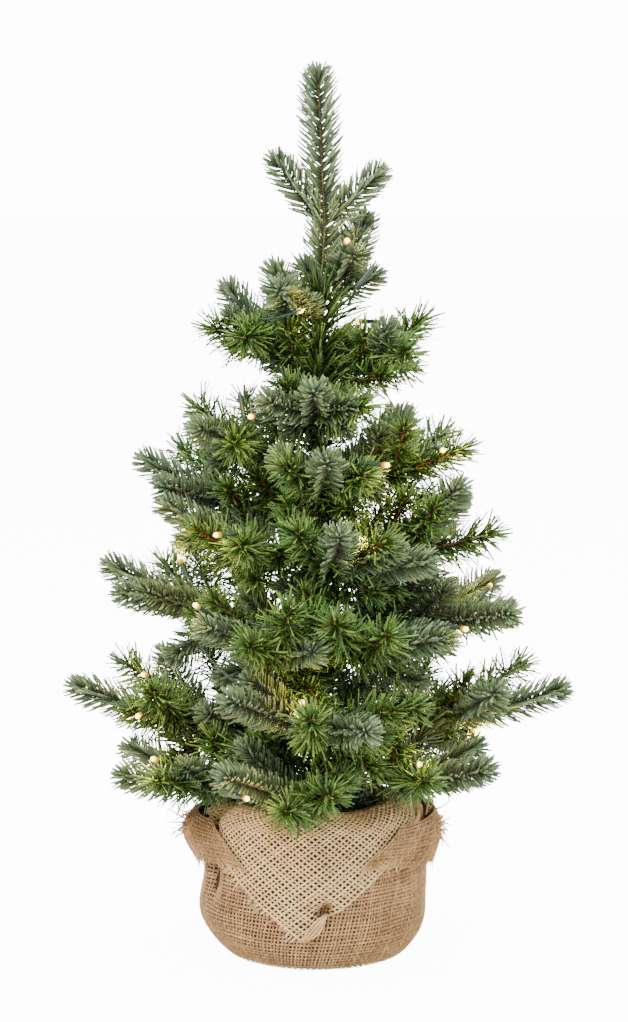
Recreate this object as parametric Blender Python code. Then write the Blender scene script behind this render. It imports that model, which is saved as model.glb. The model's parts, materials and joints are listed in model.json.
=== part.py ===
# A small artificial tabletop tree: a weighted pot in a jute wrap, a taped trunk rod,
# wire branches with moulded and cut-strip tips, and a battery-run string of lamps.
# Lengths below are millimetres; every mesh is made in metres, +Z up, floor at z = 0.
# Bearings are degrees from +X towards +Y, and the tree's front faces -Y.
import bpy
import bmesh
import numpy as np
from math import cos, sin, radians, tau

mm = 0.001
clearance = 0.3            # kept between neighbouring solids

# pot, filling and cloth
potHeight = 88.0
potBaseRadius = 54.0
potRimRadius = 60.0
potWall = 2.0
potFloor = 3.0
rimLip = 1.6               # how far the pot's rim bead stands out
rimBand = 5.0              # height of that bead
fillBelowRim = 3.0
clothThickness = 2.4
clothAboveRim = 6.0
clothWave = 1.5            # how far the cloth's outline swells and sinks round the pot
# the wrap's outer outline: height as a share of the cloth's, and its outset from the pot's
# base or rim radius: a narrow foot, a loose belly and a turned-down cuff that stands out
clothOutline = [(0.0, "base", 5.5), (0.10, "base", 12.0), (0.42, "rim", 18.5), (0.68, "rim", 16.0),
                (0.77, "rim", 21.5), (0.88, "rim", 22.5), (1.0, "rim", 13.0)]
twineRadius = 1.2
twineOutset = 6.0          # the twine's ring stands this far outside the pot's rim

# trunk and leader
treeHeight = 600.0
trunkTop = 448.0
rodRadius = 2.6
tapeThickness = 1.4
leaderStemRadius = 2.0
leaderTipLength = 108.0
leaderForkOffset = 4.5        # the fork stands this far to the right of the trunk's axis
leaderApexOffset = 0.5        # and the apex this far to the left of it
leaderSides = [(184, 32.5, 58), (-6, 46, 67)]     # bearing, reach, drop below the apex

# branches
pivotRadius = 9.0          # hinge line's distance from the trunk's axis
knuckleRadius = 1.9
branchWireRadius = 1.2
branchSag = 0.05           # how far a branch hangs below its chord, for each unit of its length
tipBelly = {"moulded": 6.0, "strip": 6.6}   # largest radius of a tip's gathered needles

# light string
cableRadius = 0.7
leadAboveWire = 8.2        # a lamp's lead runs this far above its branch's axis
sleeveRadius = 1.6
sleeveLength = 15.0
lensRadius = 1.3
lensLength = 3.0
coilPitch = 40.0

# battery box
cellRadius = 7.1
cellLength = 49.0
cellNubRadius = 2.7
cellNubLength = 1.2
cellCount = 3
boxWall = 1.6
lidThickness = 1.6
railLip = 1.2
railDepth = 0.9            # how far the lid's edges reach into the side walls
stripThickness = 0.5
switchBay = 13.0
switchNub = 3.0
switchTravel = 4.0
boxBottom = 12.0

# worked out from the sizes above
potFoot = clothThickness + clearance
rimHeight = potFoot + potHeight
fillTop = rimHeight - fillBelowRim
clothTop = rimHeight + clothAboveRim
tapeRadius = rodRadius + clearance + tapeThickness
cablePathRadius = tapeRadius + clearance + cableRadius
cellPitch = 2 * cellRadius + clearance
boxInnerHeight = cellCount * cellPitch + clearance
boxInnerDepth = 2 * (cellRadius + clearance)
boxInnerWidth = cellLength + cellNubLength + 2 * stripThickness + 4 * clearance + switchBay
boxHeight = boxInnerHeight + 2 * boxWall
boxDepth = boxWall + boxInnerDepth + lidThickness + 2 * clearance + railLip
boxWidth = boxInnerWidth + 2 * boxWall
boxFront = potRimRadius + rimLip + clothThickness + 2 * clearance + 2.0   # its face nearest the pot
boxMiddle = boxBottom + boxHeight / 2

# Each branch: its root's height above the pot's rim, then its tips as (bearing, reach from the
# trunk's axis, height above the rim, kind). The first tip ends the branch's own wire.
branchTable = [
    # top pair
    (345, [(38, 42, 413, "moulded"), (-50, 38, 386, "moulded")]),
    (335, [(-152, 36, 380, "moulded"), (-118, 58, 364, "moulded")]),
    # second tier
    (300, [(164, 67, 366, "moulded"), (-160, 82, 337, "strip"), (-135, 72, 330, "strip")]),
    (292, [(0, 76, 347, "strip"), (36, 62, 336, "strip"), (-36, 78, 321, "strip")]),
    (268, [(-92, 76, 302, "moulded"), (-118, 82, 292, "moulded"), (-62, 82, 288, "strip")]),
    (280, [(90, 74, 335, "strip"), (122, 70, 345, "moulded"), (58, 76, 318, "moulded")]),
    # third tier
    (240, [(166, 92, 285, "strip"), (-148, 96, 272, "moulded"), (-128, 90, 262, "strip")]),
    (230, [(-16, 108, 259, "strip"), (24, 100, 262, "strip"), (48, 84, 274, "moulded")]),
    (215, [(-86, 94, 258, "moulded"), (-106, 95, 254, "strip"), (-66, 92, 246, "strip")]),
    # fourth tier
    (200, [(176, 124, 248, "moulded"), (152, 112, 252, "strip"), (140, 104, 216, "moulded")]),
    (176, [(-142, 112, 210, "strip"), (-118, 110, 202, "strip"), (-158, 116, 224, "moulded")]),
    (182, [(-12, 128, 202, "strip"), (-32, 112, 238, "moulded"), (16, 104, 220, "moulded")]),
    (160, [(-82, 108, 212, "moulded"), (-62, 108, 206, "strip"), (-100, 104, 214, "strip"),
           (-46, 112, 188, "moulded")]),
    (190, [(94, 112, 232, "moulded"), (68, 108, 222, "strip"), (118, 108, 240, "strip")]),
    # fifth tier
    (128, [(172, 150, 174, "moulded"), (-168, 140, 160, "moulded"), (148, 132, 168, "strip")]),
    (132, [(-4, 134, 148, "strip"), (26, 140, 156, "moulded"), (-28, 148, 152, "moulded")]),
    (112, [(-68, 130, 150, "strip"), (-86, 126, 158, "strip"), (-48, 134, 142, "moulded")]),
    (120, [(-112, 130, 142, "strip"), (-128, 128, 150, "moulded"), (-98, 118, 166, "strip")]),
    # sixth tier
    (58, [(180, 172, 93, "moulded"), (154, 158, 99, "strip"), (-146, 136, 104, "strip")]),
    (62, [(-6, 172, 94, "moulded"), (22, 160, 98, "strip"), (-36, 146, 104, "moulded")]),
    (66, [(-92, 142, 98, "strip"), (-76, 144, 88, "moulded"), (-60, 142, 102, "strip"),
          (-116, 138, 106, "moulded")]),
    (84, [(86, 146, 128, "strip"), (62, 140, 136, "moulded"), (112, 146, 122, "moulded"),
          (134, 140, 112, "strip")]),
    # lowest tier
    (27, [(-164, 143, 38, "moulded"), (-140, 144, 46, "strip"), (168, 138, 44, "moulded")]),
    (24, [(-100, 128, 34, "strip"), (-118, 136, 56, "moulded"), (-84, 126, 46, "strip")]),
    (30, [(-38, 146, 54, "moulded"), (-58, 138, 52, "strip"), (-16, 122, 40, "moulded")]),
    (34, [(118, 142, 52, "moulded"), (98, 132, 62, "strip"), (142, 140, 48, "strip")]),
]
tipForks = [1.0, 0.42, 0.5, 0.36]     # where along its branch each side tip leaves

# Each lamp: its branch's number, the tip it lies on, how far along it the lead runs, how far round
# its branch the lead lies (degrees from the upper side), then the bearing and rise it points at.
lampTable = [
    (1, 1, 0.82, 90, -76, 32), (2, 1, 0.30, 180, -58, 0), (4, 1, 0.75, 0, 160, 0),
    (5, 1, 0.85, 180, -118, 0), (8, 0, 0.75, 0, -76, 0), (9, 2, 0.80, 0, -36, 0),
    (11, 1, 0.80, 0, -148, 0), (13, 1, 0.30, 0, -62, 22), (16, 0, 0.80, 0, 56, 30),
    (17, 2, 0.90, 0, -48, 0), (18, 1, 0.85, 0, -128, 30), (19, 1, 0.45, 0, -150, 20),
    (19, 2, 0.80, 180, -116, -10), (20, 0, 0.50, 180, -40, 5), (21, 0, 0.60, 0, -120, 40),
    (23, 1, 0.70, 0, -140, 30), (24, 1, 0.80, 180, -58, 0), (25, 1, 0.40, 0, -70, 20),
]


def polar(bearing, radius, height):
    angle = radians(bearing)
    return np.array([radius * cos(angle), radius * sin(angle), height])


def material(name, colour, roughness, metallic=0.0):
    made = bpy.data.materials.new(name)
    made.use_nodes = True
    surface = made.node_tree.nodes["Principled BSDF"]
    surface.inputs["Base Color"].default_value = (*colour, 1.0)
    surface.inputs["Roughness"].default_value = roughness
    surface.inputs["Metallic"].default_value = metallic
    made.diffuse_color = (*colour, 1.0)
    return made


def solid(name, points, faces, surface, origin=(0, 0, 0)):
    # an object whose origin sits at the given place, from points in millimetres
    mesh = bpy.data.meshes.new(name)
    centre = np.asarray(origin, float)
    mesh.from_pydata([tuple((np.asarray(p) - centre) * mm) for p in points], [], faces)
    working = bmesh.new()
    working.from_mesh(mesh)
    bmesh.ops.recalc_face_normals(working, faces=working.faces)
    working.to_mesh(mesh)
    working.free()
    mesh.materials.append(surface)
    mesh.shade_smooth()
    mesh.set_sharp_from_angle(angle=radians(35))
    made = bpy.data.objects.new(name, mesh)
    made.location = tuple(centre * mm)
    bpy.context.collection.objects.link(made)
    return made


def gridFaces(rings, sides, closedAlong=False):
    # quads between neighbouring rings of equally many points
    faces = []
    for ring in range(rings if closedAlong else rings - 1):
        after = (ring + 1) % rings
        for side in range(sides):
            across = (side + 1) % sides
            faces.append((ring * sides + side, ring * sides + across,
                          after * sides + across, after * sides + side))
    return faces


def turned(name, outline, surface, segments=32, origin=(0, 0, 0)):
    # outline: (radius, height) points of a closed loop, which may touch the axis at its two ends
    onAxis = outline[0][0] == 0
    rings = outline[1:-1] if onAxis else outline
    points = [polar(360 * turn / segments, radius, height) for radius, height in rings
              for turn in range(segments)]
    faces = gridFaces(len(rings), segments, closedAlong=not onAxis)
    if onAxis:
        first, last = len(points), len(points) + 1
        points += [polar(0, 0, outline[0][1]), polar(0, 0, outline[-1][1])]
        start = (len(rings) - 1) * segments
        for turn in range(segments):
            across = (turn + 1) % segments
            faces += [(first, across, turn), (last, start + turn, start + across)]
    return solid(name, [p + np.asarray(origin) for p in points], faces, surface, origin)


def frames(path):
    # a tangent and two crosswise directions at each point, carried along without twist
    path = np.asarray(path, float)
    tangents = np.gradient(path, axis=0)
    tangents /= np.linalg.norm(tangents, axis=1)[:, None]
    start = np.cross(tangents[0], (0, 0, 1) if abs(tangents[0][2]) < 0.9 else (0, 1, 0))
    across = [start / np.linalg.norm(start)]
    for tangent in tangents[1:]:
        carried = across[-1] - tangent * np.dot(across[-1], tangent)
        across.append(carried / np.linalg.norm(carried))
    across = np.array(across)
    return tangents, across, np.cross(tangents, across)


def tube(name, path, radii, surface, sides=6, cyclic=False, pointed=False, origin=(0, 0, 0)):
    # rings of the given radii along the path; pointed ends it in one vertex at the last point
    path = np.asarray(path, float)
    tangents, across, over = frames(path)
    ringPath = path[:-1] if pointed else path
    points, faces = [], gridFaces(len(ringPath), sides, closedAlong=cyclic)
    for place, radius, one, two in zip(ringPath, radii, across, over):
        for side in range(sides):
            angle = tau * side / sides
            points.append(place + radius * (cos(angle) * one + sin(angle) * two))
    if not cyclic:
        faces.append(tuple(range(sides)))
        end = (len(ringPath) - 1) * sides
        if pointed:
            points.append(path[-1])
            faces += [(end + side, end + (side + 1) % sides, len(points) - 1) for side in range(sides)]
        else:
            faces.append(tuple(range(end, end + sides)))
    return solid(name, points, faces, surface, origin)


def block(name, low, high, surface, origin=(0, 0, 0)):
    corners = [(x, y, z) for x in (low[0], high[0]) for y in (low[1], high[1])
               for z in (low[2], high[2])]
    faces = [(0, 1, 3, 2), (4, 6, 7, 5), (0, 4, 5, 1), (2, 3, 7, 6), (0, 2, 6, 4), (1, 5, 7, 3)]
    return solid(name, corners, faces, surface, origin)


def boolean(target, tool, operation):
    tool.hide_render = True
    tool.display_type = "WIRE"
    change = target.modifiers.new(operation.lower() + "_" + tool.name, "BOOLEAN")
    change.operation = operation
    change.solver = "EXACT"
    change.object = tool


def branchPath(root, apex, shares):
    # the chord from root to apex, hanging by a parabola that is deepest half way along
    root, apex = np.asarray(root, float), np.asarray(apex, float)
    drop = branchSag * np.linalg.norm(apex - root)
    return [root + (apex - root) * s - np.array([0, 0, 4 * drop * s * (1 - s)]) for s in shares]


def branchEnds(number):
    height, tips = branchTable[number - 1]
    root = polar(tips[0][0], pivotRadius, rimHeight + height)
    return root, [(polar(bearing, reach, rimHeight + tall), kind) for bearing, reach, tall, kind in tips]


def tipPath(number, tip, shares):
    # a tip's own line: the branch's curve for its end tip, a straight run from the fork for others
    root, ends = branchEnds(number)
    if tip == 0:
        return branchPath(root, ends[0][0], shares)
    fork = branchPath(root, ends[0][0], [tipForks[tip]])[0]
    return [fork + (ends[tip][0] - fork) * s for s in shares]


def makeBranch(number, surfaces):
    root, ends = branchEnds(number)
    name = "branch_%02d" % number
    belly = tipBelly[ends[0][1]]
    shares = [0, 0.03, 0.07, 0.30, 0.46, 0.56, 0.76, 0.92, 1.0]
    radii = [knuckleRadius * 0.6, knuckleRadius, branchWireRadius, branchWireRadius, branchWireRadius,
             belly * 0.8, belly, belly * 0.7]
    branch = tube(name, branchPath(root, ends[0][0], shares), radii, surfaces[ends[0][1]],
                  pointed=True, origin=root)
    for tip in range(1, len(ends)):
        belly = tipBelly[ends[tip][1]]
        side = tube("%s_side_%d" % (name, tip), tipPath(number, tip, [0, 0.22, 0.34, 0.66, 0.90, 1.0]),
                    [branchWireRadius * 0.8, branchWireRadius * 0.8, belly * 0.8, belly, belly * 0.7],
                    surfaces[ends[tip][1]], pointed=True, origin=root)
        boolean(branch, side, "UNION")
    return branch


def clearOf(direction, turn):
    # the way straight out from a line, turned from its upper side
    way = direction / np.linalg.norm(direction)
    out = np.array([0, 0, 1]) - way * way[2]
    out /= np.linalg.norm(out)
    return cos(radians(turn)) * out + sin(radians(turn)) * np.cross(way, out)


def makeLamp(number, surface):
    # lead, sleeve and lens in one: the lead follows its tip on the upper side, then lifts away
    branchNumber, tip, share, turn, bearing, rise = lampTable[number - 1]
    root, ends = branchEnds(branchNumber)
    lift = leadAboveWire * clearOf(ends[0][0] - root, turn)
    if tip == 0:
        route = [p + lift for p in tipPath(branchNumber, 0, np.linspace(0.12, share, 6))]
    else:
        fork = tipForks[tip]
        sideLift = leadAboveWire * clearOf(ends[tip][0] - tipPath(branchNumber, tip, [0])[0], turn)
        route = [p + lift for p in tipPath(branchNumber, 0, np.linspace(0.12, fork - 0.06, 3))]
        route += [p + sideLift for p in tipPath(branchNumber, tip, np.linspace(0.10, share, 4))]
    heading = polar(bearing, cos(radians(rise)), sin(radians(rise)))
    foot = route[-1] + heading * 3.0
    sleeveEnd = foot + heading * sleeveLength
    radii = [cableRadius] * (len(route) + 1) + [sleeveRadius, sleeveRadius, lensRadius, lensRadius * 0.9]
    route += [foot, foot + heading * 0.5, sleeveEnd, sleeveEnd + heading * 0.4,
              sleeveEnd + heading * (lensLength * 0.6), sleeveEnd + heading * lensLength]
    return tube("lamp_%02d" % number, route, radii, surface, pointed=True, origin=root)


def makeLeader(surface):
    # the moulded crown: one tall tip, leaning a little, with two shorter ones leaving it
    foot = trunkTop + clearance
    fork = treeHeight - leaderTipLength
    lean = leaderForkOffset / (leaderTipLength + leaderApexOffset)

    def onTip(above):
        return np.array([leaderForkOffset - lean * above, 0, fork + above])

    apex = np.array([-leaderApexOffset, 0, treeHeight])
    top = [polar(0, 0, foot), polar(0, 1, foot + 10), onTip(-4), onTip(14), onTip(30),
           onTip(leaderTipLength - 30), onTip(leaderTipLength - 8), apex]
    belly = tipBelly["moulded"]
    leader = tube("leader_tip", top, [leaderStemRadius, leaderStemRadius, branchWireRadius,
                                      branchWireRadius, belly * 0.8, belly, belly * 0.7],
                  surface, sides=8, pointed=True)
    for index, (bearing, reach, drop) in enumerate(leaderSides):
        start = onTip(0)
        end = polar(bearing, reach, treeHeight - drop)
        run = [start + (end - start) * s for s in (0, 0.22, 0.36, 0.70, 0.90, 1.0)]
        side = tube("leader_side_%d" % index, run,
                    [branchWireRadius * 0.8, branchWireRadius * 0.8, belly * 0.8, belly, belly * 0.7],
                    surface, sides=8, pointed=True)
        boolean(leader, side, "UNION")
    return leader


def makeCloth(surface):
    # outer wall, folded top and inner wall that follows the pot, its back pressed flat at the box
    segments = 40
    flat = boxFront - clearance
    follows = {"base": potBaseRadius, "rim": potRimRadius}
    innerFoot = potBaseRadius + clearance
    innerRim = potRimRadius + rimLip + clearance
    points = []
    for share, edge, outset in clothOutline:
        for turn in range(segments):
            bearing = 360 * turn / segments
            swell = clothWave * cos(3 * radians(bearing) + 0.6)
            place = polar(bearing, follows[edge] + outset + swell, share * clothTop)
            place[1] = min(place[1], flat)
            points.append(place)
    underBand = rimHeight - rimBand - clearance
    for radius, height in [(innerRim, clothTop), (innerRim, underBand - 1.0),
                           (potRimRadius + clearance, underBand - 1.4), (innerFoot, clothThickness)]:
        points += [polar(360 * turn / segments, radius, height) for turn in range(segments)]
    faces = gridFaces(len(clothOutline) + 4, segments)
    faces += [tuple(range(segments)), tuple(range(len(points) - segments, len(points)))]
    return solid("burlap_wrap", points, faces, surface)


def makePot(surface):
    foot, rim = potFoot, rimHeight
    outline = [(0, foot), (potBaseRadius, foot), (potRimRadius, rim - rimBand),
               (potRimRadius + rimLip, rim - rimBand),
               (potRimRadius + rimLip, rim), (potRimRadius - potWall, rim),
               (potBaseRadius - potWall, foot + potFloor), (0, foot + potFloor)]
    return turned("pot", outline, surface, 40)


def makeWeight(surface):
    low = potFoot + potFloor + clearance
    slope = (potRimRadius - potBaseRadius) / potHeight
    inside = potBaseRadius - potWall - clearance
    hole = rodRadius + clearance
    outline = [(hole, low), (inside, low), (inside + slope * (fillTop - low) * 0.95, fillTop),
               (hole, fillTop)]
    return turned("cement_weight", outline, surface, 40)


def makeTrunk(steel, tape):
    low = potFoot + potFloor + clearance
    turned("trunk_rod", [(0, low), (rodRadius, low), (rodRadius, trunkTop), (0, trunkTop)], steel, 16)
    inner = rodRadius + clearance
    turned("trunk_tape", [(inner, fillTop + clearance), (tapeRadius, fillTop + clearance),
                          (tapeRadius, trunkTop - 2), (inner, trunkTop - 2)], tape, 16)


def makeTwine(surface):
    # one round turn of twine that lies on the cloth's folded top
    path = np.array([polar(bearing, potRimRadius + twineOutset, clothTop + clearance + twineRadius)
                     for bearing in range(0, 360, 9)])
    closed = bpy.data.curves.new("jute_twine", "CURVE")
    closed.dimensions = "3D"
    closed.bevel_depth = twineRadius * mm
    closed.bevel_resolution = 1
    line = closed.splines.new("POLY")
    line.points.add(len(path) - 1)
    line.points.foreach_set("co", np.hstack([path * mm, np.ones((len(path), 1))]).ravel())
    line.use_cyclic_u = True
    closed.materials.append(surface)
    made = bpy.data.objects.new("jute_twine", closed)
    bpy.context.collection.objects.link(made)


def makeTrunkCable(surface):
    # out of the box, up the back of the cloth, over the twine and in to the trunk, then a coil
    outlet = (boxWidth / 2 - 10, boxFront + boxDepth / 2)
    overRim = clothTop + 2 * twineRadius + clearance + cableRadius + 4
    start = rimHeight + 18
    run = [(outlet[0], outlet[1], boxBottom + boxHeight + clearance),
           (outlet[0], outlet[1], clothTop - 14), (outlet[0] - 1, outlet[1] - 3, overRim - 2),
           (outlet[0] - 5, outlet[1] - 12, overRim + 1), (16, 46, overRim + 2), (8, 22, overRim + 3)]
    coil = []
    first = 55
    steps = int((trunkTop - 12 - start) / coilPitch * 10)
    for step in range(steps + 1):
        coil.append(polar(first + 36 * step, cablePathRadius, start + coilPitch * step / 10))
    path = run + coil
    tube("light_cable", path, [cableRadius] * len(path), surface)


def makeBatteryBox(plastic, steel, cellSkin):
    left, right = -boxWidth / 2, boxWidth / 2
    low, high = boxBottom, boxBottom + boxHeight
    front, back = boxFront, boxFront + boxDepth
    slotFront = front + boxWall + boxInnerDepth
    slotBack = back - railLip
    case = block("battery_case", (left, front, low), (right, back, high), plastic)
    cavity = block("case_cavity", (left + boxWall, front + boxWall, low + boxWall),
                   (right - boxWall, slotFront + 0.5, high - boxWall), plastic)
    slot = block("case_slot", (left + boxWall, slotFront, low + boxWall - railDepth),
                 (right + 5, slotBack, high - boxWall + railDepth), plastic)
    mouth = block("case_mouth", (left + 2 * boxWall, slotFront, low + boxWall + railDepth),
                  (right + 5, back + 5, high - boxWall - railDepth), plastic)
    nubLow = left + boxWall + 3.0
    nubSlot = block("case_switch_slot", (nubLow - clearance, boxFront + boxDepth / 2 - 2.5, high - boxWall - 1),
                    (nubLow + switchNub + switchTravel + clearance, boxFront + boxDepth / 2 + 2.5, high + 5),
                    plastic)
    for cutter in (cavity, slot, mouth, nubSlot):
        boolean(case, cutter, "DIFFERENCE")
    block("battery_lid", (left + boxWall + clearance, slotFront + clearance, low + boxWall - railDepth + clearance),
          (right, slotFront + clearance + lidThickness, high - boxWall + railDepth - clearance), plastic)
    nubX = nubLow + switchTravel
    middle = boxFront + boxDepth / 2
    slider = block("switch_slider", (nubX, middle - 2.0, high - boxWall - 1.0), (nubX + switchNub, middle + 2.0,
                   high + 1.5), plastic)
    plate = block("switch_plate", (nubX - 2.0, middle - 4.0, high - boxWall - clearance - 1.4),
                  (nubX + switchNub + 2.0, middle + 4.0, high - boxWall - clearance), plastic)
    boolean(slider, plate, "UNION")
    stripHigh = boxInnerHeight - 4
    cellRight = right - boxWall - 2 * clearance - stripThickness
    cellLeft = cellRight - cellLength - cellNubLength
    cellMiddle = front + boxWall + clearance + cellRadius
    for name, start in (("contact_right", cellRight + clearance), ("contact_left",
                        cellLeft - clearance - stripThickness)):
        block(name, (start, cellMiddle - 5, boxMiddle - stripHigh / 2),
              (start + stripThickness, cellMiddle + 5, boxMiddle + stripHigh / 2), steel)
    for index in range(cellCount):
        height = boxMiddle + (index - (cellCount - 1) / 2) * cellPitch
        makeCell("battery_cell_%d" % (index + 1), cellLeft, cellMiddle, height, index % 2 == 1, cellSkin)


def makeCell(name, start, depth, height, flipped, surface):
    # a turned cell laid along X, its nub at the right or, flipped, at the left
    segments = 16
    outline = [(0, 0), (cellRadius, 0), (cellRadius, cellLength), (cellNubRadius, cellLength),
               (cellNubRadius, cellLength + cellNubLength), (0, cellLength + cellNubLength)]
    cell = turned(name, outline, surface, segments)
    total = cellLength + cellNubLength
    cell.rotation_euler = (0, radians(-90 if flipped else 90), 0)
    cell.location = ((start + total if flipped else start) * mm, depth * mm, height * mm)
    return cell


def build():
    for old in list(bpy.data.objects):
        bpy.data.objects.remove(old, do_unlink=True)
    jute = material("jute_cloth", (0.48, 0.30, 0.14), 0.95)
    plastic = material("pot_plastic", (0.03, 0.03, 0.03), 0.5)
    cement = material("cement", (0.42, 0.41, 0.39), 0.9)
    steel = material("steel", (0.55, 0.55, 0.56), 0.35, 1.0)
    tape = material("green_tape", (0.03, 0.08, 0.03), 0.6)
    cable = material("green_cable", (0.02, 0.06, 0.03), 0.45)
    cellSkin = material("cell_sleeve", (0.10, 0.12, 0.15), 0.35)
    foliage = {"moulded": material("moulded_needles", (0.08, 0.16, 0.09), 0.6),
               "strip": material("cut_needles", (0.07, 0.18, 0.04), 0.55)}
    makePot(plastic)
    makeWeight(cement)
    makeCloth(jute)
    makeTwine(jute)
    makeTrunk(steel, tape)
    makeLeader(foliage["moulded"])
    makeBatteryBox(plastic, steel, cellSkin)
    makeTrunkCable(cable)
    for number in range(1, len(branchTable) + 1):
        makeBranch(number, foliage)
    for number in range(1, len(lampTable) + 1):
        makeLamp(number, cable)


build()
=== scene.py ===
import json
import math

import bpy
import numpy as np
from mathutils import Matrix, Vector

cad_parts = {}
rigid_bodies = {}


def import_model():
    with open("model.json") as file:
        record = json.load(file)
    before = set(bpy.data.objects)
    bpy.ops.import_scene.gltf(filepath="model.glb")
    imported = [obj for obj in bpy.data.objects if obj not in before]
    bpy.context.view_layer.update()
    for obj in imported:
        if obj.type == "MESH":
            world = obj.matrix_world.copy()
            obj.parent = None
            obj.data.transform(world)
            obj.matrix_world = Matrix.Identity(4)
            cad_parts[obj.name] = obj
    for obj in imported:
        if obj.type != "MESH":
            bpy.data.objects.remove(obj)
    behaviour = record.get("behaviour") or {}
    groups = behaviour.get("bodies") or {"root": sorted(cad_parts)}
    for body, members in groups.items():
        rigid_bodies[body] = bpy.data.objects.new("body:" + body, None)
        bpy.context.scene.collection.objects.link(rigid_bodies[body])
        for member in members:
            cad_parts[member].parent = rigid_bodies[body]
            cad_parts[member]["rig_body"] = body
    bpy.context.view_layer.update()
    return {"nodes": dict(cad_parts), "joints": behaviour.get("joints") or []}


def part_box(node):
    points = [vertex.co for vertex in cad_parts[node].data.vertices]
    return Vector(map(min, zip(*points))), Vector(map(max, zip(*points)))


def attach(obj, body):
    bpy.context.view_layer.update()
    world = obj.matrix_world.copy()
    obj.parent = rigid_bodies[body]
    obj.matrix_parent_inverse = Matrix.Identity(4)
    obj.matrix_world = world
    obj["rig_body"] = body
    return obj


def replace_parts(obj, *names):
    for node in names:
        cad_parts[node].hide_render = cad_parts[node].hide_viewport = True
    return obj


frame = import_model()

mm = 0.001
nodes = frame["nodes"]
joints = {joint["child"]: joint for joint in frame["joints"]}


# ---- camera ----
view = {
    "distance": 1.80,       # in front of the trunk, metres
    "height": 0.53,
    "tiltDown": 7.25,       # degrees below level
    "lens": 94.7,
    "shift": -0.0039,       # the trunk stands a little right of the middle
}


def placeCamera():
    camera = bpy.data.objects.new("camera", bpy.data.cameras.new("camera"))
    bpy.context.scene.collection.objects.link(camera)
    camera.location = (0, -view["distance"], view["height"])
    camera.rotation_euler = (math.radians(90 - view["tiltDown"]), 0, 0)
    camera.data.lens = view["lens"]
    camera.data.sensor_width = 36
    camera.data.shift_x = view["shift"]
    camera.data.clip_start = 0.05
    camera.data.clip_end = 50
    bpy.context.scene.camera = camera


placeCamera()


# ---- shader helpers ----
def linear(hexColour):
    # sRGB hex to the linear colour that a shader takes
    channels = [int(hexColour[i:i + 2], 16) / 255 for i in (1, 3, 5)]
    return [c / 12.92 if c <= 0.04045 else ((c + 0.055) / 1.055) ** 2.4 for c in channels] + [1.0]


def addNode(tree, kind, settings=(), inputs=(), ramp=()):
    # one shader node: its own settings, then sockets set to a value or linked from (node, output)
    made = tree.nodes.new("ShaderNode" + kind)
    for name, value in dict(settings).items():
        setattr(made, name, value)
    if ramp:
        stops = made.color_ramp.elements
        while len(stops) < len(ramp):
            stops.new(0.5)
        for stop, (position, colour) in zip(stops, ramp):
            stop.position, stop.color = position, linear(colour)
    for name, value in dict(inputs).items():
        if isinstance(value, tuple) and isinstance(value[0], bpy.types.Node):
            tree.links.new(value[0].outputs[value[1]], made.inputs[name])
        else:
            made.inputs[name].default_value = value
    return made


def newMaterial(name):
    made = bpy.data.materials.new(name)
    made.use_nodes = True
    made.node_tree.nodes.clear()
    return made, made.node_tree


def finished(material, shader):
    addNode(material.node_tree, "OutputMaterial", inputs={"Surface": (shader, 0)})
    return material


def uvAxes(tree):
    # the two axes of the piece's own UV map as separate outputs
    uvMap = addNode(tree, "UVMap", {"uv_map": "OFBake"})
    return addNode(tree, "SeparateXYZ", inputs={"Vector": (uvMap, 0)})


# ---- mesh helpers ----
def makePiece(name, arrays, material, body, mapped=True):
    # points, quads, triangles and uv become one smooth object that rides on a body
    points, quads, triangles, uv = arrays
    points = np.asarray(points, np.float32).reshape(-1, 3)
    quads = np.asarray(quads, np.int32).reshape(-1, 4)
    triangles = np.asarray(triangles, np.int32).reshape(-1, 3)
    corners = np.concatenate([quads.ravel(), triangles.ravel()])
    starts = np.concatenate([np.arange(len(quads)) * 4, len(quads) * 4 + np.arange(len(triangles)) * 3])
    mesh = bpy.data.meshes.new(name)
    mesh.vertices.add(len(points))
    mesh.vertices.foreach_set("co", points.ravel())
    mesh.loops.add(len(corners))
    mesh.loops.foreach_set("vertex_index", corners)
    mesh.polygons.add(len(starts))
    mesh.polygons.foreach_set("loop_start", starts.astype(np.int32))
    mesh.update(calc_edges=True)
    if mapped:
        layer = mesh.uv_layers.new(name="OFBake")
        layer.data.foreach_set("uv", np.asarray(uv, np.float32)[corners].ravel())
    mesh.polygons.foreach_set("use_smooth", np.full(len(starts), True))
    mesh.materials.append(material)
    made = bpy.data.objects.new(name, mesh)
    bpy.context.scene.collection.objects.link(made)
    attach(made, body)
    return made


def unit(vectors):
    return vectors / np.maximum(np.linalg.norm(vectors, axis=-1, keepdims=True), 1e-9)


def travelled(path):
    # distance along a polyline at each of its points
    return np.concatenate([[0], np.cumsum(np.linalg.norm(np.diff(path, axis=0), axis=1))])


def alongPath(path, distances, step=0.0008):
    # points at distances measured along a polyline, and headings from a step behind to a step ahead
    reached = travelled(path)

    def at(where):
        return np.stack([np.interp(where, reached, path[:, axis]) for axis in range(3)], axis=1)

    return at(distances), unit(at(distances + step) - at(distances - step))


def pathLength(path):
    return float(np.linalg.norm(np.diff(path, axis=0), axis=1).sum())


def evenly(path, count, start=0.0, end=None):
    # count points at equal steps along the path, from start to end in metres
    return alongPath(path, np.linspace(start, pathLength(path) if end is None else end, count))[0]


def crosswise(headings):
    # two directions square to each heading: level = heading x up, or heading x back where the heading
    # is upright, and upper = level x heading
    upright = np.abs(headings[:, 2:3]) > 0.95
    reference = np.where(upright, np.array([[0.0, 1.0, 0.0]]), np.array([[0.0, 0.0, 1.0]]))
    level = unit(np.cross(headings, reference))
    return level, np.cross(level, headings)


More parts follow.
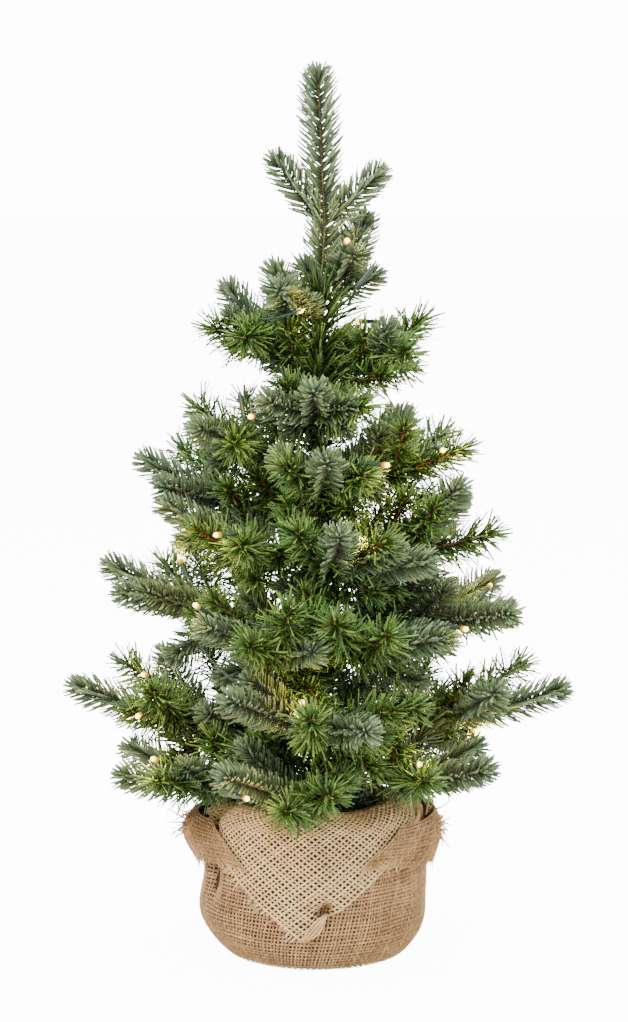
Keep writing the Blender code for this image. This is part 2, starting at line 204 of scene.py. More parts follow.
def gridQuads(rows, columns, closed=True):
    # faces of a grid of points kept row after row; a closed one joins its last column to its first
    across = np.arange(columns if closed else columns - 1)
    row, column = np.meshgrid(np.arange(rows - 1), across, indexing="ij")
    beside = (column + 1) % columns
    return np.stack([row * columns + column, row * columns + beside, (row + 1) * columns + beside,
                     (row + 1) * columns + column], axis=-1).reshape(-1, 4)


def tubeArrays(path, radii, sides=8, lobes=0, lobeDepth=0.0, turnsPerMetre=0.0, toneU=0.5):
    # a ring of points round each point of the path; the radius may swell in lobes that twist along it
    count = len(path)
    level, upper = crosswise(unit(np.gradient(path, axis=0)))
    reached = travelled(path)
    angle = np.arange(sides) * math.tau / sides
    swell = 1 + lobeDepth * np.cos(lobes * (angle[None, :] - math.tau * turnsPerMetre * reached[:, None]))
    spoke = np.asarray(radii, float).reshape(-1, 1) * np.ones((count, 1)) * swell
    points = (path[:, None, :] + spoke[..., None] * (np.cos(angle)[None, :, None] * level[:, None, :]
              + np.sin(angle)[None, :, None] * upper[:, None, :]))
    ends = np.array([path[0], path[-1]])
    first, last, final = count * sides, count * sides + 1, (count - 1) * sides
    turn = np.arange(sides)
    after = (turn + 1) % sides
    triangles = np.concatenate([np.stack([np.full(sides, first), after, turn], axis=1),
                                np.stack([np.full(sides, last), final + turn, final + after], axis=1)])
    uv = np.stack([np.full(count * sides + 2, toneU),
                   np.concatenate([np.repeat(reached / max(reached[-1], 1e-9), sides), [0, 1]])], axis=1)
    points = np.concatenate([points.reshape(-1, 3), ends])
    return points, gridQuads(count, sides)[:, ::-1], triangles[:, ::-1], uv


noTriangles = np.zeros((0, 3), int)


def joinArrays(parts):
    # several sets of points, quads, triangles and uv as one set
    offset, points, quads, triangles, uv = 0, [], [], [], []
    for somePoints, someQuads, someTriangles, someUv in parts:
        points.append(somePoints)
        quads.append(np.asarray(someQuads).reshape(-1, 4) + offset)
        triangles.append(np.asarray(someTriangles).reshape(-1, 3) + offset)
        uv.append(someUv)
        offset += len(somePoints)
    return np.concatenate(points), np.concatenate(quads), np.concatenate(triangles), np.concatenate(uv)


# ---- reading branch lines from the frame ----
def weldedNode(name):
    # a node's points with doubles merged, and which of them are joined by an edge
    mesh = nodes[name].data
    raw = np.zeros(len(mesh.vertices) * 3)
    mesh.vertices.foreach_get("co", raw)
    points, index = np.unique(np.round(raw.reshape(-1, 3), 6), axis=0, return_inverse=True)
    edges = np.zeros(len(mesh.edges) * 2, int)
    mesh.edges.foreach_get("vertices", edges)
    pairs = np.unique(np.sort(index.reshape(-1)[edges.reshape(-1, 2)], axis=1), axis=0)
    return points, pairs[pairs[:, 0] != pairs[:, 1]]


def ringsFrom(points, pairs, start, limit):
    # centres and radii of the rings of points met on walking away from the starting points
    seen = np.zeros(len(points), bool)
    current = np.zeros(len(points), bool)
    current[start] = True
    centres, radii = [], []
    for step in range(limit):
        seen |= current
        centre = points[current].mean(0)
        centres.append(centre)
        radii.append(float(np.linalg.norm(points[current] - centre, axis=1).mean()))
        reached = np.zeros(len(points), bool)
        reached[pairs[current[pairs[:, 0]], 1]] = True
        reached[pairs[current[pairs[:, 1]], 0]] = True
        current = reached & ~seen
        if not current.any():
            break
    return np.array(centres), np.array(radii)


def tipEnds(points, pairs, pivot):
    # the points that lie further from the pivot than all their neighbours, by 1.5 mm or more
    far = np.linalg.norm(points - pivot, axis=1)
    nearest = np.full(len(points), 1.0)
    for one, other in ((0, 1), (1, 0)):
        np.minimum.at(nearest, pairs[:, one], far[pairs[:, one]] - far[pairs[:, other]])
    return np.flatnonzero(nearest > 1.5 * mm)


reading = {
    "sag": 0.05,            # how far a branch hangs below its chord, as CAD bends it
    "mouldedBelow": 4.4,    # a CAD tip thinner than this radius is of the moulded kind, millimetres
    "forkReach": (0.005, 0.16),     # how far behind a side tip its fork is looked for, metres
}


def branchLine(pivot, apex, count=40):
    # the chord from pivot to apex, hanging by a parabola deepest half way
    share = np.linspace(0, 1, count)[:, None]
    drop = reading["sag"] * np.linalg.norm(apex - pivot)
    return pivot + (apex - pivot) * share - np.array([0, 0, 1]) * 4 * drop * share * (1 - share)


def tipKind(radius):
    return "moulded" if radius < reading["mouldedBelow"] * mm else "strip"


def readBranch(name, pivot):
    # the branch's own line, and for each side tip its line from the fork, each with its kind
    points, pairs = weldedNode(name)
    ends = tipEnds(points, pairs, pivot)
    ends = ends[np.argsort(-np.linalg.norm(points[ends] - pivot, axis=1))]
    found = []
    for end in ends:
        centres, radii = ringsFrom(points, pairs, [end], 3)
        found.append((points[end], unit(centres[0] - centres[2]), radii[1]))
    chosen = None
    for apex, heading, radius in found:
        line = branchLine(pivot, apex)
        miss = np.degrees(np.arccos(np.clip(unit(line[-1] - line[-3]) @ heading, -1, 1)))
        if chosen is None or miss < chosen[0]:
            chosen = (miss, line, radius)
    main = chosen[1]
    lines = [(main, tipKind(chosen[2]))]
    for apex, heading, radius in found:
        if np.allclose(apex, main[-1], atol=1e-5):
            continue
        back = apex - heading * np.linspace(*reading["forkReach"], 156)[:, None]
        gap = np.linalg.norm(back[:, None, :] - main[None, :, :], axis=2).min(1)
        root = back[int(gap.argmin())]
        share = np.linspace(0, 1, 24)[:, None]
        lines.append((root + (apex - root) * share, tipKind(radius)))
    return lines


# ---- foliage materials ----
def foliageMaterial(name, tones, roughness, sheen):
    # the UV's first axis picks a needle's own tone; the second runs from its root to its point and darkens
    # each needle towards its root as painted shade, where the needles crowd the stem
    made, tree = newMaterial(name)
    split = uvAxes(tree)
    tone = addNode(tree, "ValToRGB", inputs={"Fac": (split, 0)}, ramp=tones)
    # painted shade: dark at the needle's root, white at its point
    fade = addNode(tree, "ValToRGB", inputs={"Fac": (split, 1)},
                   ramp=[(0.0, "#59664c"), (0.30, "#aab3a0"), (0.75, "#e6eae0"), (1.0, "#ffffff")])
    colour = addNode(tree, "Mix", {"data_type": "RGBA", "blend_type": "MULTIPLY"},
                     {0: 1.0, 6: (tone, 0), 7: (fade, 0)})
    shader = addNode(tree, "BsdfPrincipled", inputs={"Base Color": (colour, 2), "Roughness": roughness,
                     "IOR": 1.46, "Sheen Weight": sheen, "Sheen Roughness": 0.5})
    return finished(made, shader)


# polyethylene moulded in one shot from a real twig: matt, blue-green, with painted shade darkening each
# needle towards its root
mouldedNeedle = foliageMaterial("moulded_polyethylene_needles", [
    (0.0, "#3b4d34"), (0.25, "#536a4a"), (0.50, "#69825c"), (0.75, "#80986e"), (1.0, "#a9ba92")], 0.5, 0.1)
# PVC film slit into strips and dyed through: yellower green, thin, a soft gloss on its flats
stripNeedle = foliageMaterial("slit_pvc_film_needles", [
    (0.0, "#203814"), (0.25, "#39591e"), (0.50, "#51762a"), (0.75, "#6d923b"), (1.0, "#9ab462")], 0.38, 0.0)


def stemMaterial(name, low, high, roughness, grain):
    # a moulded or wound stem: mottling two or three millimetres across, with a shallow bump
    made, tree = newMaterial(name)
    place = addNode(tree, "TexCoord")
    mottle = addNode(tree, "TexNoise", inputs={"Vector": (place, "Object"), "Scale": grain, "Detail": 4.0})
    colour = addNode(tree, "ValToRGB", inputs={"Fac": (mottle, 0)}, ramp=[(0.35, low), (0.65, high)])
    bump = addNode(tree, "Bump", inputs={"Height": (mottle, 0), "Strength": 0.4, "Distance": 0.0003})
    shader = addNode(tree, "BsdfPrincipled", inputs={"Base Color": (colour, 0), "Roughness": roughness,
                     "Normal": (bump, 0), "IOR": 1.48})
    return finished(made, shader)


# the moulded twig's own bark: olive going brown, matt
mouldedStem = stemMaterial("moulded_olive_twig", "#5c5a2b", "#8a7740", 0.6, 400)
# galvanised wire twisted with brown film, which shows as a rope of two strands
twistedStem = stemMaterial("twisted_wire_brown_film", "#4a3a1f", "#8a5f34", 0.55, 500)
# self-gripping florist's tape, stretched and wound: dull dark green with pale stretch marks
windingTape = stemMaterial("wound_florist_tape", "#1c2f1a", "#33492c", 0.7, 500)


# ---- needles ----
needleShape = {
    # rings: share of the length, width share; sizes in millimetres, angles in degrees
    "moulded": {"rings": [(0.0, 0.8), (0.4, 1.0), (0.8, 1.0), (0.96, 0.72)], "pointed": True,
                "width": 1.66, "thickness": 1.15, "length": 16.0, "perMillimetre": 2.9,
                "spreadFoot": 64, "spreadTip": 58, "rows": [4, 50, 130, 176, 228, 312], "jitter": 4,
                "curl": 0.36, "crown": 22, "crownSpread": 64, "crownLength": 0.68},
    "strip": {"rings": [(0.0, 0.85), (0.5, 1.0), (1.0, 0.8)], "pointed": False,
              "width": 1.25, "thickness": 0.32, "length": 20.0, "perMillimetre": 3.3,
              "spreadFoot": 62, "spreadTip": 36, "rows": [], "jitter": 19,
              "crown": 22, "crownSpread": 70, "crownLength": 0.80},
}
# where needles shorten and lean forward before a tip, where its crown is rooted, and where the
# first needles grow to their length, all in millimetres; the tone's scatter is a share
spray = {"rounding": 15.0, "crownRoom": 5.0, "growIn": 8.0, "toneScatter": 0.20}
goldenAngle = 2.39996       # radians between needles that are laid all round a stem


def needleArrays(kind, roots, direction, widthWay, length, width, tone, bend):
    # each needle's line is its root + length * (share * direction + share^2 * bend), and round that
    # line run rings of four points, wide one way and thin the other
    shape = needleShape[kind]
    count = len(roots)
    share = np.array([ring[0] for ring in shape["rings"]])
    swell = np.array([ring[1] for ring in shape["rings"]])
    thinWay = np.cross(direction, widthWay)
    centre = roots[:, None, :] + length[:, None, None] * (
        share[None, :, None] * direction[:, None, :] + (share ** 2)[None, :, None] * bend[:, None, :])
    half = 0.5 * width[:, None] * swell[None, :]
    thin = half * shape["thickness"] / shape["width"]
    corners = np.stack([centre + half[..., None] * widthWay[:, None, :],
                        centre + thin[..., None] * thinWay[:, None, :],
                        centre - half[..., None] * widthWay[:, None, :],
                        centre - thin[..., None] * thinWay[:, None, :]], axis=2)
    rings = len(share)
    points = corners.reshape(count, rings * 4, 3)
    along = np.repeat(share, 4)
    quads = np.concatenate([gridQuads(rings, 4), [[3, 2, 1, 0]]])
    top = (rings - 1) * 4
    if shape["pointed"]:
        points = np.concatenate([points, (roots + length[:, None] * (direction + bend))[:, None, :]], axis=1)
        along = np.concatenate([along, [1.0]])
        triangles = np.array([[top + i, top + (i + 1) % 4, rings * 4] for i in range(4)])
    else:
        quads = np.concatenate([quads, [[top, top + 1, top + 2, top + 3]]])
        triangles = noTriangles
    perNeedle = points.shape[1]
    base = (np.arange(count) * perNeedle)[:, None, None]
    uv = np.stack([np.broadcast_to(tone[:, None], (count, perNeedle)),
                   np.broadcast_to(along[None, :], (count, perNeedle))], axis=-1)
    return (points.reshape(-1, 3), (quads[None] + base).reshape(-1, 4),
            (triangles[None] + base).reshape(-1, 3), uv.reshape(-1, 2))


def sprayNeedles(path, kind, seed, fromShare=0.0, toShare=1.0, toneBias=0.0, lengthShare=1.0,
                 density=1.0, crowned=True):
    # moulded needles stand in rows like a comb, cut strips all round by the golden angle; both lean
    # forward more towards the end, where a crown of needles fans out and rounds the tip off
    shape = needleShape[kind]
    chance = np.random.default_rng(seed)
    whole = pathLength(path)
    low, high = whole * fromShare, whole * toShare
    count = max(int((high - low) / mm * shape["perMillimetre"] * density), 6)
    reached = low + (high - low) * (np.arange(count) + 0.5) / count
    index = np.arange(count)
    if shape["rows"]:
        order = np.array([0, 3, 1, 4, 2, 5])[index % 6]
        turn = np.radians(np.array(shape["rows"])[order] + chance.normal(0, 7, count))
    else:
        turn = index * goldenAngle + chance.normal(0, 0.3, count)
    toEnd = np.clip((whole - reached) / (spray["rounding"] * mm), 0, 1)
    lean = shape["spreadTip"] + (shape["spreadFoot"] - shape["spreadTip"]) * toEnd ** 0.8
    reachShare = shape["crownLength"] + (1 - shape["crownLength"]) * toEnd
    if crowned:
        extra = shape["crown"]
        outward = (np.arange(extra) + 0.3) / extra
        reached = np.concatenate([reached, high - spray["crownRoom"] * mm * outward])
        turn = np.concatenate([turn, np.arange(extra) * goldenAngle])
        lean = np.concatenate([lean, shape["crownSpread"] * np.sqrt(outward)])
        reachShare = np.concatenate([reachShare, np.full(extra, shape["crownLength"])])
        count += extra
    lean = np.radians(lean + chance.normal(0, shape["jitter"], count))
    roots, headings = alongPath(path, np.clip(reached, 0, whole))
    level, upper = crosswise(headings)
    out = unit(np.cos(turn)[:, None] * level + np.sin(turn)[:, None] * upper)
    direction = unit(np.cos(lean)[:, None] * headings + np.sin(lean)[:, None] * out)
    growing = np.clip((reached - low) / (spray["growIn"] * mm) + 0.6, 0.6, 1)
    length = shape["length"] * mm * lengthShare * reachShare * growing * chance.uniform(0.88, 1.08, count)
    if shape["rows"]:
        widthWay = np.cross(direction, out) + 0.2 * chance.normal(0, 1, (count, 3))
        bend = headings * shape["curl"] * np.sin(lean)[:, None]
    else:
        widthWay = chance.normal(0, 1, (count, 3))
        bend = unit(chance.normal(0, 1, (count, 3))) * chance.uniform(0.04, 0.30, (count, 1))
        bend = bend + 0.08 * headings
        length = length * chance.uniform(0.78, 1.06, count)
    widthWay = unit(widthWay - direction * (widthWay * direction).sum(1, keepdims=True))
    width = shape["width"] * mm * chance.uniform(0.85, 1.15, count)
    tone = np.clip(chance.normal(0.5 + toneBias, spray["toneScatter"], count), 0.02, 0.98)
    return needleArrays(kind, roots, direction, widthWay, length, width, tone, bend)


# ---- one branch ----
branch = {
    "stemRadius": 1.0, "stemEnd": 0.6, "wireRadius": 0.85,      # millimetres
    "short": {"moulded": 9.6, "strip": 12.0},     # a stem ends this far inside its last needles
    "firstFork": 0.36, "sideFork": 0.08,      # share of a line where its own needles begin
    # innerShade shifts the needles on a branch's inner part and its sprigs darker on the tone ramp, as
    # painted shade inside the tree
    "innerShade": -0.14, "innerLength": 0.95,
    "lowest": 130.0,         # sprigs that start below this only rise
    "sprigs": 7, "sprigLength": 56.0, "sprigSpread": 0.75,
}


def shortened(path, byMillimetres):
    # the same path with its far end cut back
    return evenly(path, len(path), 0, pathLength(path) - byMillimetres * mm)


def lashing(path, middle, half, radius):
    # a few turns of tape: a short sleeve, radius * (0.55 + 0.45 * sqrt(sin(pi * share))), with ridges
    share = np.linspace(0, 1, 14)
    swell = 0.55 + 0.45 * np.sqrt(np.sin(math.pi * share))
    radii = radius * swell * (1 + 0.08 * np.cos(share * 6 * math.pi))
    return tubeArrays(evenly(path, 14, max(middle - half, 0), middle + half), radii)


def budArrays(path):
    # the folded end of the twisted wire: a small bead, radius * sin(pi * share)
    whole = pathLength(path)
    run = np.linspace(whole - 1.5 * mm, whole + 3.5 * mm, 7)
    ahead = unit(path[-1] - path[-2])
    places = path[-1] + ahead * (run - whole)[:, None]
    return tubeArrays(places, 1.25 * mm * np.sin(math.pi * np.linspace(0.08, 0.94, 7)), sides=6)


def stemArrays(path, kind):
    # a moulded twig tapers; a wire and its film make a two-strand rope
    fine = evenly(path, 44)
    if kind == "moulded":
        radii = np.linspace(branch["stemRadius"], branch["stemEnd"], 44) * mm
        return tubeArrays(fine, radii, 6)
    return tubeArrays(fine, branch["wireRadius"] * mm, 8, 2, 0.28, 230)


def sprigPaths(main, number):
    # short sprigs that leave the inner part of a branch on both sides, up and down: each runs
    # straight along its own way and lifts by a tenth of its length at the end
    chance = np.random.default_rng(700 + number)
    whole = pathLength(main)
    paths = []
    for index in range(branch["sprigs"]):
        start, heading = alongPath(main, np.array([whole * (0.08 + 0.065 * index)]))
        level, upper = crosswise(heading)
        side = 1 if index % 2 else -1
        rise = (0.7, -0.4, 0.1, 0.9, -0.7, 0.45, -0.1)[index % 7] + chance.uniform(-0.15, 0.15)
        rise = abs(rise) + 0.2 if start[0, 2] < branch["lowest"] * mm else rise
        way = unit(heading[0] * 0.60 + level[0] * side * branch["sprigSpread"] + upper[0] * rise)
        length = branch["sprigLength"] * mm * chance.uniform(0.85, 1.15) * min((whole / 0.13) ** 1.5, 1)
        share = np.linspace(0, 1, 12)[:, None]
        paths.append(start[0] + way * length * share + np.array([0, 0, 0.10]) * length * share ** 2)
    return paths


def makeBranch(number):
    body = "branch_%02d_body" % number
    node = "branch_%02d" % number
    lines = readBranch(node, np.array(joints[body]["pos_m"]))
    sprays = {"moulded": [], "strip": []}
    stems = {"moulded": [], "strip": []}
    tape = []
    main = lines[0][0]
    whole = pathLength(main)
    for tip, (line, kind) in enumerate(lines):
        path = shortened(line, branch["short"][kind])
        begin = branch["sideFork" if tip else "firstFork"]
        sprays[kind].append(sprayNeedles(path, kind, number * 10 + tip, fromShare=begin))
        stems[kind].append(stemArrays(path, kind))
        if kind == "strip":
            stems[kind].append(budArrays(path))
        if tip:
            near = float(np.linalg.norm(main - line[0], axis=1).argmin()) / (len(main) - 1) * whole
            tape.append(lashing(main, near, 4 * mm, 1.9 * mm))
    # the inner needles and sprigs are set darker as painted shade
    innerShade, innerLength = branch["innerShade"], branch["innerLength"]
    sprays["strip"].append(sprayNeedles(
        main, "strip", number * 10 + 8, 0.06, branch["firstFork"] + 0.10,
        innerShade, innerLength, 0.75, crowned=False))
    for index, path in enumerate(sprigPaths(main, number)):
        kind = "strip" if (number + index) % 5 in (0, 2, 3) and number > 2 else "moulded"
        sprays[kind].append(sprayNeedles(path, kind, number * 10 + 50 + index, 0.10, 1.0,
                                         innerShade * 0.6, innerLength, 0.9))
        stems[kind].append(stemArrays(path, kind))
        if kind == "strip":
            stems[kind].append(budArrays(path))
    tape.append(lashing(main, 4.0 * mm, 5.0 * mm, 2.3 * mm))
    made = []
    for kind, needle, bark, needleSlot, barkSlot in (
            ("moulded", mouldedNeedle, mouldedStem, "moulded_needles", "tip_stem"),
            ("strip", stripNeedle, twistedStem, "cut_needles", "twisted_stem")):
        if sprays[kind]:
            made.append(makePiece(node + "_" + kind + "_needles", joinArrays(sprays[kind]), needle,
                                  body))
        if stems[kind]:
            makePiece(node + "_" + kind + "_stems", joinArrays(stems[kind]), bark, body)
    makePiece(node + "_tape", joinArrays(tape), windingTape, body, False)
    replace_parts(made[0], node)


for number in range(1, 1 + sum(1 for name in nodes if name.startswith("branch_"))):
    makeBranch(number)
print("branches done")


# ---- trunk ----
garland = {"from": 96.0, "to": 446.0, "density": 1.7, "length": 1.7,
           "lastTurn": 27.0, "lastHeight": 99}      # heights and radius in millimetres, the others shares


def makeTrunk():
    # strips wound in with the tape stand out all round the trunk between the branches
    path = np.zeros((60, 3))
    path[:, 2] = np.linspace(garland["from"] * mm, garland["to"] * mm, 60)
    # the garland's tone is shifted darker by 0.2 as painted shade deep among the branches
    sprays = [sprayNeedles(path, "strip", 3, 0.0, 1.0, -0.2, garland["length"],
                           garland["density"], False)]
    # the garland's last turn lies in the pot's mouth; its tone is shifted darker by 0.25 as painted shade
    turn = np.linspace(0, math.tau, 90)
    ring = np.stack([garland["lastTurn"] * np.cos(turn), garland["lastTurn"] * np.sin(turn),
                     garland["lastHeight"] + 2 * np.sin(3 * turn)], axis=1) * mm
    sprays.append(sprayNeedles(ring, "strip", 4, 0.0, 1.0, -0.25, 0.85, 0.9, False))
    makePiece("trunk_garland", joinArrays(sprays), stripNeedle, "base")


makeTrunk()
print("trunk done")


# ---- leader ----
# where the two arms leave in millimetres, the needles' tone, and the share of a line where they begin
leader = {"fork": (4.5, 0.0, 492.0), "tone": 0.02, "crownFrom": 0.12, "armFrom": 0.10}


def makeLeader():
    # the crown runs from the CAD tip's foot over the fork to its apex, and two arms leave at the fork
    points, pairs = weldedNode("leader_tip")
    foot = points[points[:, 2] < points[:, 2].min() + 1e-5].mean(0)
    ends = tipEnds(points, pairs, foot)
    ends = ends[np.argsort(-points[ends][:, 2])]
    apex = points[ends[0]]
    fork = np.array(leader["fork"]) * mm
    share = np.linspace(0, 1, 40)[:, None]
    trunk = np.concatenate([foot + (fork - foot) * share[:-1], fork + (apex - fork) * share])
    sprays, stems = [], []
    for index, line in enumerate([trunk] + [fork + (points[end] - fork) * share for end in ends[1:3]]):
        path = shortened(line, branch["short"]["moulded"])
        begin = leader["armFrom" if index else "crownFrom"]
        sprays.append(sprayNeedles(path, "moulded", 1 + index, begin, 1.0, leader["tone"]))
        stems.append(stemArrays(path, "moulded"))
    needles = makePiece("leader_needles", joinArrays(sprays), mouldedNeedle, "base")
    makePiece("leader_stem", joinArrays(stems), mouldedStem, "base", False)
    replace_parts(needles, "leader_tip")


makeLeader()
print("leader done")


# ---- cloth and small-part materials ----
def juteMaterial(name, tones, bumpDistance):
    # UV's first axis picks a thread's own tone; one noise adds blotches 17 mm wide and another the spun
    # fibres, which are finer than 1 mm and drawn 1 mm wide so that they show
    made, tree = newMaterial(name)
    split = uvAxes(tree)
    place = addNode(tree, "TexCoord")
    blotch = addNode(tree, "TexNoise", inputs={"Vector": (place, "Object"), "Scale": 60.0, "Detail": 2.0})
    fibre = addNode(tree, "TexNoise", inputs={"Vector": (place, "Object"), "Scale": 900.0, "Detail": 3.0})
    lift = addNode(tree, "Math", {"operation": "MULTIPLY_ADD"}, {0: (blotch, 0), 1: 0.5, 2: (split, 0)})
    more = addNode(tree, "Math", {"operation": "MULTIPLY_ADD"}, {0: (fibre, 0), 1: 0.7, 2: (lift, 0)})
    centred = addNode(tree, "Math", {"operation": "SUBTRACT"}, {0: (more, 0), 1: 0.6})
    colour = addNode(tree, "ValToRGB", inputs={"Fac": (centred, 0)}, ramp=tones)
    bump = addNode(tree, "Bump", inputs={"Height": (fibre, 0), "Strength": 0.5, "Distance": bumpDistance})
    shader = addNode(tree, "BsdfPrincipled", inputs={"Base Color": (colour, 0), "Roughness": 0.85,
                     "Normal": (bump, 0), "Sheen Weight": 0.25, "Sheen Roughness": 0.4})
    return finished(made, shader)


def plainMaterial(name, colour, roughness, metallic=0.0, grain=0.0, grainScale=300):
    # one colour, its roughness and bump broken up so that highlights are not perfect, by a noise 3 mm
    # wide, which is coarser than a mould's etching so that it shows
    made, tree = newMaterial(name)
    place = addNode(tree, "TexCoord")
    noise = addNode(tree, "TexNoise", inputs={"Vector": (place, "Object"), "Scale": float(grainScale),
                                              "Detail": 3.0})
    spread = addNode(tree, "MapRange", inputs={0: (noise, 0), 3: roughness - 0.08, 4: roughness + 0.12})
    bump = addNode(tree, "Bump", inputs={"Height": (noise, 0), "Strength": 0.5, "Distance": grain * mm})
    shader = addNode(tree, "BsdfPrincipled", inputs={"Base Color": linear(colour), "Roughness": (spread, 0),
                     "Metallic": metallic, "Normal": (bump, 0)})
    return finished(made, shader)


# spun jute yarn: hairy, dull, straw lights over brown
juteThread = juteMaterial("woven_spun_jute_yarn", [
    (0.0, "#5a3d20"), (0.3, "#a37a4a"), (0.6, "#d0a86f"), (1.0, "#f6d898")], 0.0002)
# the cloth's inner layer, coloured dark as painted shade, seen only as dark squares between the threads
juteShadeLayer = juteMaterial("jute_inner_layer_painted_shade", [(0.0, "#352516"), (1.0, "#513b25")], 0.0002)
# polypropylene from a polished mould: near black with a soft, slightly uneven gloss
blackPot = plainMaterial("injection_moulded_black_polypropylene", "#141414", 0.42, grain=0.02)
# cement poured and left rough: chalky, no gloss, with a grain of several millimetres
cementGrey = plainMaterial("cast_cement_weight", "#8b867d", 0.9, grain=0.4, grainScale=180)
# galvanised rod drawn through a die: grey metal with a dull shine
drawnSteel = plainMaterial("drawn_galvanised_steel", "#8f9291", 0.38, 1.0, 0.01)
# ABS from a fine-etched mould: dark green with a broad, weak highlight
boxPlastic = plainMaterial("moulded_green_abs_battery_box", "#1f3322", 0.45, grain=0.02)
# PVC extruded over copper strands: dark green, smooth, a narrow highlight along each strand
cablePlastic = plainMaterial("extruded_dark_green_pvc", "#22382a", 0.38, grain=0.01)
# ABS from the same kind of mould: black and matt
switchPlastic = plainMaterial("moulded_black_abs_slider", "#1a1a1a", 0.5, grain=0.02)
# heat-shrunk sleeve round a cell: tight, smooth and the glossiest of the plastics
cellSleeve = plainMaterial("shrunk_pvc_cell_sleeve", "#3d5f47", 0.3, grain=0.005)
# nickel-plated spring strip: pale warm metal, brighter than the rod
springSteel = plainMaterial("nickel_plated_spring_steel", "#b5b6b2", 0.3, 1.0, 0.01)


# ---- burlap wrap ----
cloth = {
    "pitch": 2.5, "flapPitch": 2.95, "cuffPitch": 2.5,           # between threads, millimetres
    "threadWidth": 1.38, "threadThickness": 0.90, "wave": 0.46,
    "footRadius": 60.0, "rim": 95.0, "bellyReach": 15.5, "boxFront": 65.4,
    "gather": 30.0, "gatherRise": 9.0, "mouth": 47.0, "cutSide": 320.0,
    "wallMean": 74.0, "wallLean": 0.22,           # mean radius, and how far the warps lean as they climb
    "flapMean": 76, "flapApex": (-10.0, 26.0), "flapHalfAngle": 52.0, "flapTop": 97.0, "tuckArc": 5.0,
    "cuffMean": 80.0, "cuffOut": 77.4, "cuffDepth": 31.0, "cuffLean": 24.0,
}
# the turned-down edge: bearing from the front, how far it stands out, height of its hem
cuffTable = np.array([(34, 1, 72), (48, 3, 69), (66, 6, 67), (84, 7, 67), (100, 6, 70), (120, 3, 76),
                      (150, 1, 80), (180, 0, 82), (210, 1, 80), (236, 4, 76), (252, 9, 70),
                      (268, 15, 66), (284, 13, 66), (298, 7, 68), (310, 2, 71)], float)
# soft patches of the wall: bearing in radians from the front, half width, height, half height
wallPatches = {"swelling": (-1.52, 0.42, 31, 15), "dent": (0.06, 0.085, 43, 6.0),
               "slack": (0.85, 0.50, 40, 26), "sagging": (-0.80, 0.30, 26, 14)}
wallPleat = {"bearing": -1.17, "gapBearing": -1.19, "width": 0.115, "depth": 10.5, "foot": 34, "fade": 24}


def wrapAngle(angle):
    # the same bearing between minus half a turn and half a turn
    return (angle + math.pi) % math.tau - math.pi


def softPatch(name, phi, height):
    # exp(-(angle off the patch's bearing / width)^2 - (height off its middle / half height)^2)
    bearing, width, middle, half = wallPatches[name]
    return np.exp(-((wrapAngle(phi - bearing) / width) ** 2) - ((height - middle) / half) ** 2)


def wallRadius(phi, height):
    # foot radius plus a belly, waves that grow upwards, one deep pleat on the left and a dent in front
    share = np.clip(height / cloth["rim"], 0, 1)
    belly = 1 - (1 - np.clip(height / 32, 0, 1)) ** 2.4
    top = 0.5 - 0.5 * np.cos(math.pi * np.clip((height - 58) / 40, 0, 1))
    reach = cloth["bellyReach"] - 1.3 * np.sin(phi)
    radius = cloth["footRadius"] + reach * belly * (1 - 0.22 * top)
    radius = radius + share * (1.1 * np.sin(5 * phi + 0.7) + 0.7 * np.sin(11 * phi + 2.0))
    radius = radius + 3.6 * softPatch("swelling", phi, height)
    pleat = np.exp(-((wrapAngle(phi - wallPleat["bearing"]) / wallPleat["width"]) ** 2))
    pleat = pleat * np.clip((height - wallPleat["foot"]) / wallPleat["fade"], 0, 1)
    # slack folds that run down to the right from the turned edge, and two shallow ones low on the left
    run = wrapAngle(phi)
    slack = 1.5 * softPatch("slack", phi, height) * np.sin((0.8 * height + 74 * 0.75 * run) / 6.5)
    slack = slack + 1.1 * softPatch("sagging", phi, height) * np.sin((height - 30 * run) / 4.5)
    return radius - wallPleat["depth"] * pleat - 9.0 * softPatch("dent", phi, height) + slack


def wallPoint(phi, run, outset=0.0):
    # run climbs the wall, rolls over the top edge and goes down inside; the back is flat at the box
    rim = cloth["rim"]
    over = np.clip((run - rim) / cloth["gather"], 0, 1)
    down = np.clip(run - rim - cloth["gather"], 0, None)
    outer = wallRadius(phi, np.minimum(run, rim))
    inward = 1 - np.cos(0.5 * math.pi * over)
    radius = outer + outset * (1 - over) + (cloth["mouth"] + 2.0 * np.sin(9 * phi) - outer) * inward
    height = (np.minimum(run, rim) + cloth["gatherRise"] * np.sin(0.5 * math.pi * over) - 0.9 * down
              + outset * np.sin(0.5 * math.pi * over) * 0.8 + 1.2 * over * np.sin(7 * phi + 1))
    y = np.minimum(-radius * np.cos(phi), cloth["boxFront"] + outset * 0.3)
    return np.stack([radius * np.sin(phi) - 1.0, y, height], axis=-1)


